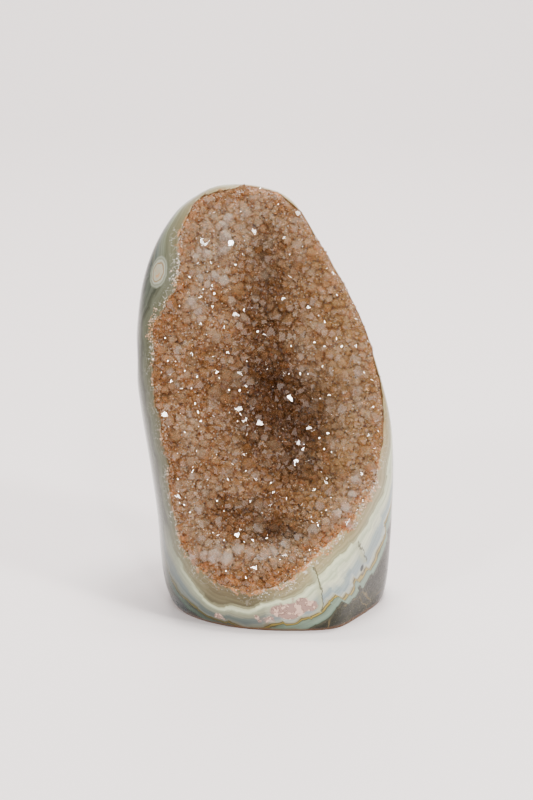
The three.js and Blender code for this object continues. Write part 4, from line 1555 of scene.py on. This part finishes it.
@dataclass(frozen=True)
class ShowCrystals:
    """The few crystals that stand out, each given where it is seen in the front view."""

    ground: DruseGround
    seed: int = 61
    sink: float = 0.0
    sight_slope: float = 0.287
    finish: QuartzFinish = SHOWY
    flashing: tuple[tuple[float, float, float], ...] = (
        # across, up, radius
        (-10.3, 114.8, 1.5), (-21.6, 106.5, 1.0), (-17.8, 108.0, 0.8), (-3.2, 112.9, 0.8), (-2.3, 89.7, 0.6),
        (-17.7, 88.7, 0.6), (7.4, 70.3, 1.3), (11.3, 55.5, 0.9), (9.5, 52.1, 1.0), (-5.9, 54.9, 0.6),
        (-25.8, 81.5, 0.8), (-8.6, 30.9, 1.1), (-6.5, 29.1, 0.7), (-3.8, 29.2, 0.8), (8.0, 31.0, 0.8),
        (5.4, 24.8, 0.7), (-14.0, 40.5, 0.7), (17.5, 92.0, 0.6), (19.0, 60.0, 0.6), (-20.0, 66.0, 0.6),
        (-20.4, 108.8, 0.6), (-18.8, 109.8, 0.5), (-16.4, 109.2, 0.6), (-22.6, 104.6, 0.5),
        (-17.2, 106.0, 0.5), (-15.0, 110.6, 0.4), (-13.8, 107.8, 0.5), (-18.6, 101.6, 0.6),
        (-16.2, 99.4, 0.5), (7.0, 28.8, 0.6), (16.0, 33.6, 0.5), (25.0, 40.0, 0.6), (12.0, 31.0, 0.4),
        (-24.0, 60.0, 0.5), (-22.5, 36.0, 0.5),
    )
    plain: tuple[tuple[float, float, float], ...] = (
        (-12.4, 113.1, 2.5), (-12.1, 116.5, 2.2), (-12.4, 119.5, 2.0), (-11.0, 121.5, 1.7), (-3.5, 99.3, 1.9),
        (-6.8, 93.4, 2.0), (-20.9, 23.1, 2.2), (-18.2, 23.3, 2.0), (-15.2, 23.5, 2.5), (-11.6, 23.0, 2.6),
        (-8.2, 25.8, 2.2), (-4.4, 24.7, 2.4), (-0.9, 24.2, 1.9), (-22.2, 97.9, 2.0), (-12.7, 103.9, 2.2),
        (-10.3, 98.2, 1.9), (23.8, 38.5, 2.0), (21.0, 36.8, 1.8), (27.1, 46.1, 1.8), (20.2, 56.2, 2.1),
        (2.5, 25.6, 1.7), (6.0, 27.8, 1.9), (10.0, 30.2, 1.7), (14.3, 32.4, 2.0), (18.2, 34.8, 1.7),
        (26.0, 42.0, 1.7), (-20.8, 110.8, 1.8), (-17.6, 111.6, 1.6), (-19.4, 104.4, 1.9), (-15.0, 105.6, 1.8),
    )
    plain_tint: float = 0.6
    spangles: int = 120
    spangle_sizes: tuple[float, float] = (0.20, 0.46)
    spangle_lift: float = 0.6

    def build(self, shapes: Sequence[bpy.types.Object], glint: Glint, shift: np.ndarray) -> bpy.types.Object:
        """Makes all of them as one piece, without its finish."""
        rng = np.random.default_rng(self.seed)
        points, faces = [], []
        chosen = [(*place, True, 0.0) for place in self.flashing]
        chosen += [(*place, False, 0.0) for place in self.plain]
        chosen += [(*place, True, self.spangle_lift) for place in self._spangles()]
        for x, z, radius, bright, lift in chosen:
            foot = self._foot(x, z) - Vector((0, lift, 0))
            mesh = shapes[int(rng.integers(len(shapes)))].data
            if bright:
                turn = self._facing(mesh, glint.half_way(foot), rng)
            else:
                lean = Vector((rng.uniform(-0.35, 0.35), -1.0, rng.uniform(-0.2, 0.4)))
                spin = Quaternion((0, 0, 1), rng.uniform(0, 1.05))
                turn = Vector((0, 0, 1)).rotation_difference(lean) @ spin
            start = len(points)
            points.extend(foot + turn @ (vertex.co * radius) for vertex in mesh.vertices)
            faces.extend([start + i for i in polygon.vertices] for polygon in mesh.polygons)
        points = np.array(points)
        marks = self.ground.marks(points) | {"tint": np.full(len(points), self.plain_tint)}
        return mesh_object("show_crystals", points, faces, shift, marks, smooth=False)

    def _spangles(self) -> list[tuple[float, float, float]]:
        """The fine crystals that flash all over the hollow, as place and radius in the front view."""
        rng = np.random.default_rng(self.seed + 1)
        turn = rng.uniform(0, math.tau, self.spangles)
        reach = self.ground.form.reach_at(turn) * np.sqrt(rng.uniform(0.01, 0.88, self.spangles))
        radius = rng.uniform(*self.spangle_sizes, self.spangles)
        return list(zip(*from_centre(turn, reach), radius))

    def _foot(self, x: float, z: float) -> Vector:
        """The place on the hollow's floor that is seen behind a place of the front view."""
        across = np.array([x])
        seen = np.array([z])
        low = seen
        for _ in range(4):
            behind = self.ground.floor(across, low) - self.ground.form.front(across, seen)
            low = seen - self.sight_slope * behind
        return Vector((x, float(self.ground.floor(across, low)[0]) + self.sink, float(low[0])))

    def _facing(self, mesh: bpy.types.Mesh, half: Vector, rng: np.random.Generator) -> Quaternion:
        """Turns a crystal so that its largest tip facet faces a direction and its tip looks outward."""
        tips = [face for face in mesh.polygons if face.normal.z > 0.3]
        facet = max(tips, key=lambda face: face.area).normal.copy()
        turn = facet.rotation_difference(half)
        spins = [Quaternion(half, math.tau * k / 24) @ turn for k in range(24)]
        best = max(range(24), key=lambda k: -(spins[k] @ Vector((0, 0, 1))).y)
        return spins[(best + int(rng.integers(-3, 4))) % 24]


@dataclass(frozen=True)
class CrystalLining:
    """The hollow's lining: the stained ground and its crystals."""

    ground: DruseGround
    glint: Glint
    layers: tuple[CrystalLayer, ...] = LAYERS
    rim_layer: CrystalLayer = RIM_LAYER
    grain_layers: tuple[CrystalLayer, ...] = (DUST_LAYER, PIN_LAYER)

    def build(self, shift: np.ndarray) -> list[bpy.types.Object]:
        """Makes and dresses the ground and each layer of crystals."""
        stain = IronStainAndShade()
        mass = self.ground.build(shift)
        mass.data.materials.append(DruseGroundFinish().build(stain))
        shapes = bpy.data.collections.new("quartz_points")
        points = [
            QuartzPoint(habit, seed, shoulder).build(shapes)
            for seed, (habit, shoulder) in enumerate(
                (habit, shoulder) for habit in CrystalHabit for shoulder in (0.15, 0.45)
            )
        ]
        grains = bpy.data.collections.new("grains")
        points.append(self._grain(grains))
        footing = self.ground.footing(shift)
        rim = self.ground.rim_footing(shift)
        strewer = StrewnCrystals()
        made = [layer.build(strewer, footing, shapes, layer.finish.build(stain)) for layer in self.layers]
        made.append(self.rim_layer.build(strewer, rim, shapes, self.rim_layer.finish.build(stain)))
        for layer in self.grain_layers:
            made.append(layer.build(strewer, made[0], grains, layer.finish.build(stain)))
        show_crystals = ShowCrystals(self.ground)
        show = show_crystals.build(points[:-1], self.glint, shift)
        show.data.materials.append(show_crystals.finish.build(stain))
        for helper in (*points, footing, rim):
            bpy.data.objects.remove(helper)
        for helper in (shapes, grains):
            bpy.data.collections.remove(helper)
        return [mass, *made, show]

    def _grain(self, grains: bpy.types.Collection) -> bpy.types.Object:
        """Makes the eight-sided grain of unit radius that the finest layers repeat."""
        corners = [(1, 0, 0), (-1, 0, 0), (0, 1, 0), (0, -1, 0), (0, 0, 1.5), (0, 0, -1)]
        faces = [(4, 0, 2), (4, 2, 1), (4, 1, 3), (4, 3, 0), (5, 2, 0), (5, 1, 2), (5, 3, 1), (5, 0, 3)]
        mesh = bpy.data.meshes.new("grain")
        mesh.from_pydata(corners, [], faces)
        grain = bpy.data.objects.new("grain", mesh)
        grains.objects.link(grain)
        return grain


# The studio

@dataclass(frozen=True)
class Softbox:
    """A square studio light that looks at the stone, in metres and watts."""

    name: str
    place: tuple[float, float, float]
    size: float
    power: float
    colour: Colour = (1.0, 0.97, 0.94)

    def build(self, aim: Vector) -> bpy.types.Object:
        """Places the light."""
        light = bpy.data.lights.new(self.name, "AREA")
        light.shape = "SQUARE"
        light.size = self.size
        light.energy = self.power
        light.color = self.colour
        made = bpy.data.objects.new(self.name, light)
        made.location = self.place
        made.rotation_euler = (aim - Vector(self.place)).to_track_quat("-Z", "Y").to_euler()
        bpy.context.scene.collection.objects.link(made)
        return made


@dataclass(frozen=True)
class Studio:
    """The plain pale floor with its rising back, the soft lights and the camera."""

    floor_colour: Colour = (0.94, 0.875, 0.87)
    floor_half: float = 2.2
    cove_at: float = 0.9
    cove_radius: float = 0.6
    wall_height: float = 2.4
    world_colour: Colour = (0.90, 0.88, 0.88)
    world_strength: float = 0.52
    elevation: float = 16.0
    distance: float = 0.678
    aim: tuple[float, float, float] = (0.0003, -0.00025, 0.06413)
    lens: float = 100.0
    lights: tuple[Softbox, ...] = (
        Softbox("key_softbox", (0.50, -0.45, 0.65), 0.12, 5.2),
        Softbox("left_softbox", (-0.42, -0.62, 0.60), 0.10, 2.8),
        Softbox("fill_softbox", (-0.60, -0.65, 0.35), 0.50, 1.4),
        Softbox("top_softbox", (0.12, -0.06, 0.90), 0.20, 8.0),
    )
    sparkle: Softbox = Softbox("sparkle_light", (0.14, -0.80, 0.62), 0.08, 3.2, (1.0, 1.0, 1.0))
    backdrop_light: Softbox = Softbox("backdrop_softbox", (0.0, 0.35, 1.35), 0.60, 34.0)
    backdrop_aim: tuple[float, float, float] = (0.0, 1.4, 0.55)

    def build(self) -> None:
        """Makes the floor, world, lights and camera."""
        self._floor()
        self._world()
        middle = Vector(self.aim)
        for light in (*self.lights, self.sparkle):
            light.build(middle)
        self.backdrop_light.build(Vector(self.backdrop_aim))
        self._camera(middle)

    def _floor(self) -> bpy.types.Object:
        """A sheet that runs flat under the stone and curves up behind it."""
        steps = 24
        profile = [(-self.floor_half, 0.0)]
        for i in range(steps + 1):
            turn = math.pi / 2 * i / steps
            profile.append((
                self.cove_at + self.cove_radius * math.sin(turn),
                self.cove_radius * (1 - math.cos(turn)),
            ))
        profile.append((self.cove_at + self.cove_radius, self.wall_height))
        points = [(side * self.floor_half, y, z) for y, z in profile for side in (-1, 1)]
        faces = [(2 * i, 2 * i + 1, 2 * i + 3, 2 * i + 2) for i in range(len(profile) - 1)]
        mesh = bpy.data.meshes.new("pale_floor")
        mesh.from_pydata(points, [], faces)
        mesh.polygons.foreach_set("use_smooth", [True] * len(mesh.polygons))
        material, _, shader = new_material("pale_floor")
        shader.inputs["Base Color"].default_value = (*self.floor_colour, 1)
        shader.inputs["Roughness"].default_value = 0.55
        mesh.materials.append(material)
        made = bpy.data.objects.new("pale_floor", mesh)
        bpy.context.scene.collection.objects.link(made)
        return made

    def _world(self) -> None:
        """Even pale light from all round."""
        world = bpy.data.worlds.new("pale_room")
        world.use_nodes = True
        background = world.node_tree.nodes["Background"]
        background.inputs["Color"].default_value = (*self.world_colour, 1)
        background.inputs["Strength"].default_value = self.world_strength
        bpy.context.scene.world = world

    def _backward(self) -> Vector:
        """The direction from the aim to the camera."""
        rise = math.radians(self.elevation)
        return Vector((0, -math.cos(rise), math.sin(rise)))

    def glint(self) -> Glint:
        """The camera and the sparkle light as the crystals see them."""
        camera = Vector(self.aim) + self._backward() * self.distance
        return Glint(camera / MM, Vector(self.sparkle.place) / MM)

    def _camera(self, aim: Vector) -> None:
        """A camera at the photograph's height and distance."""
        back = self._backward()
        camera = bpy.data.cameras.new("camera")
        camera.lens = self.lens
        camera.clip_start = 0.01
        camera.clip_end = 20.0
        made = bpy.data.objects.new("camera", camera)
        made.location = aim + back * self.distance
        made.rotation_euler = (-back).to_track_quat("-Z", "Y").to_euler()
        bpy.context.scene.collection.objects.link(made)
        bpy.context.scene.camera = made


def main() -> None:
    """Builds the geode half and its studio, and writes down how large it is."""
    logging.basicConfig(level=logging.INFO, format="%(name)s %(message)s")
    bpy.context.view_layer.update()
    form = StoneForm()
    shift = form.shift()
    rind = PolishedRind(form).build(shift)
    rind.data.materials.append(AgateFinish().build())
    studio = Studio()
    pieces = [rind, *CrystalLining(DruseGround(form), studio.glint()).build(shift)]
    for piece in pieces:
        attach(piece, "root")
        LOG.info("%s: %d faces", piece.name, len(piece.data.polygons))
    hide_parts("agate_stone")
    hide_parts("crystal_crust")
    studio.build()


if __name__ == "__main__":
    main()
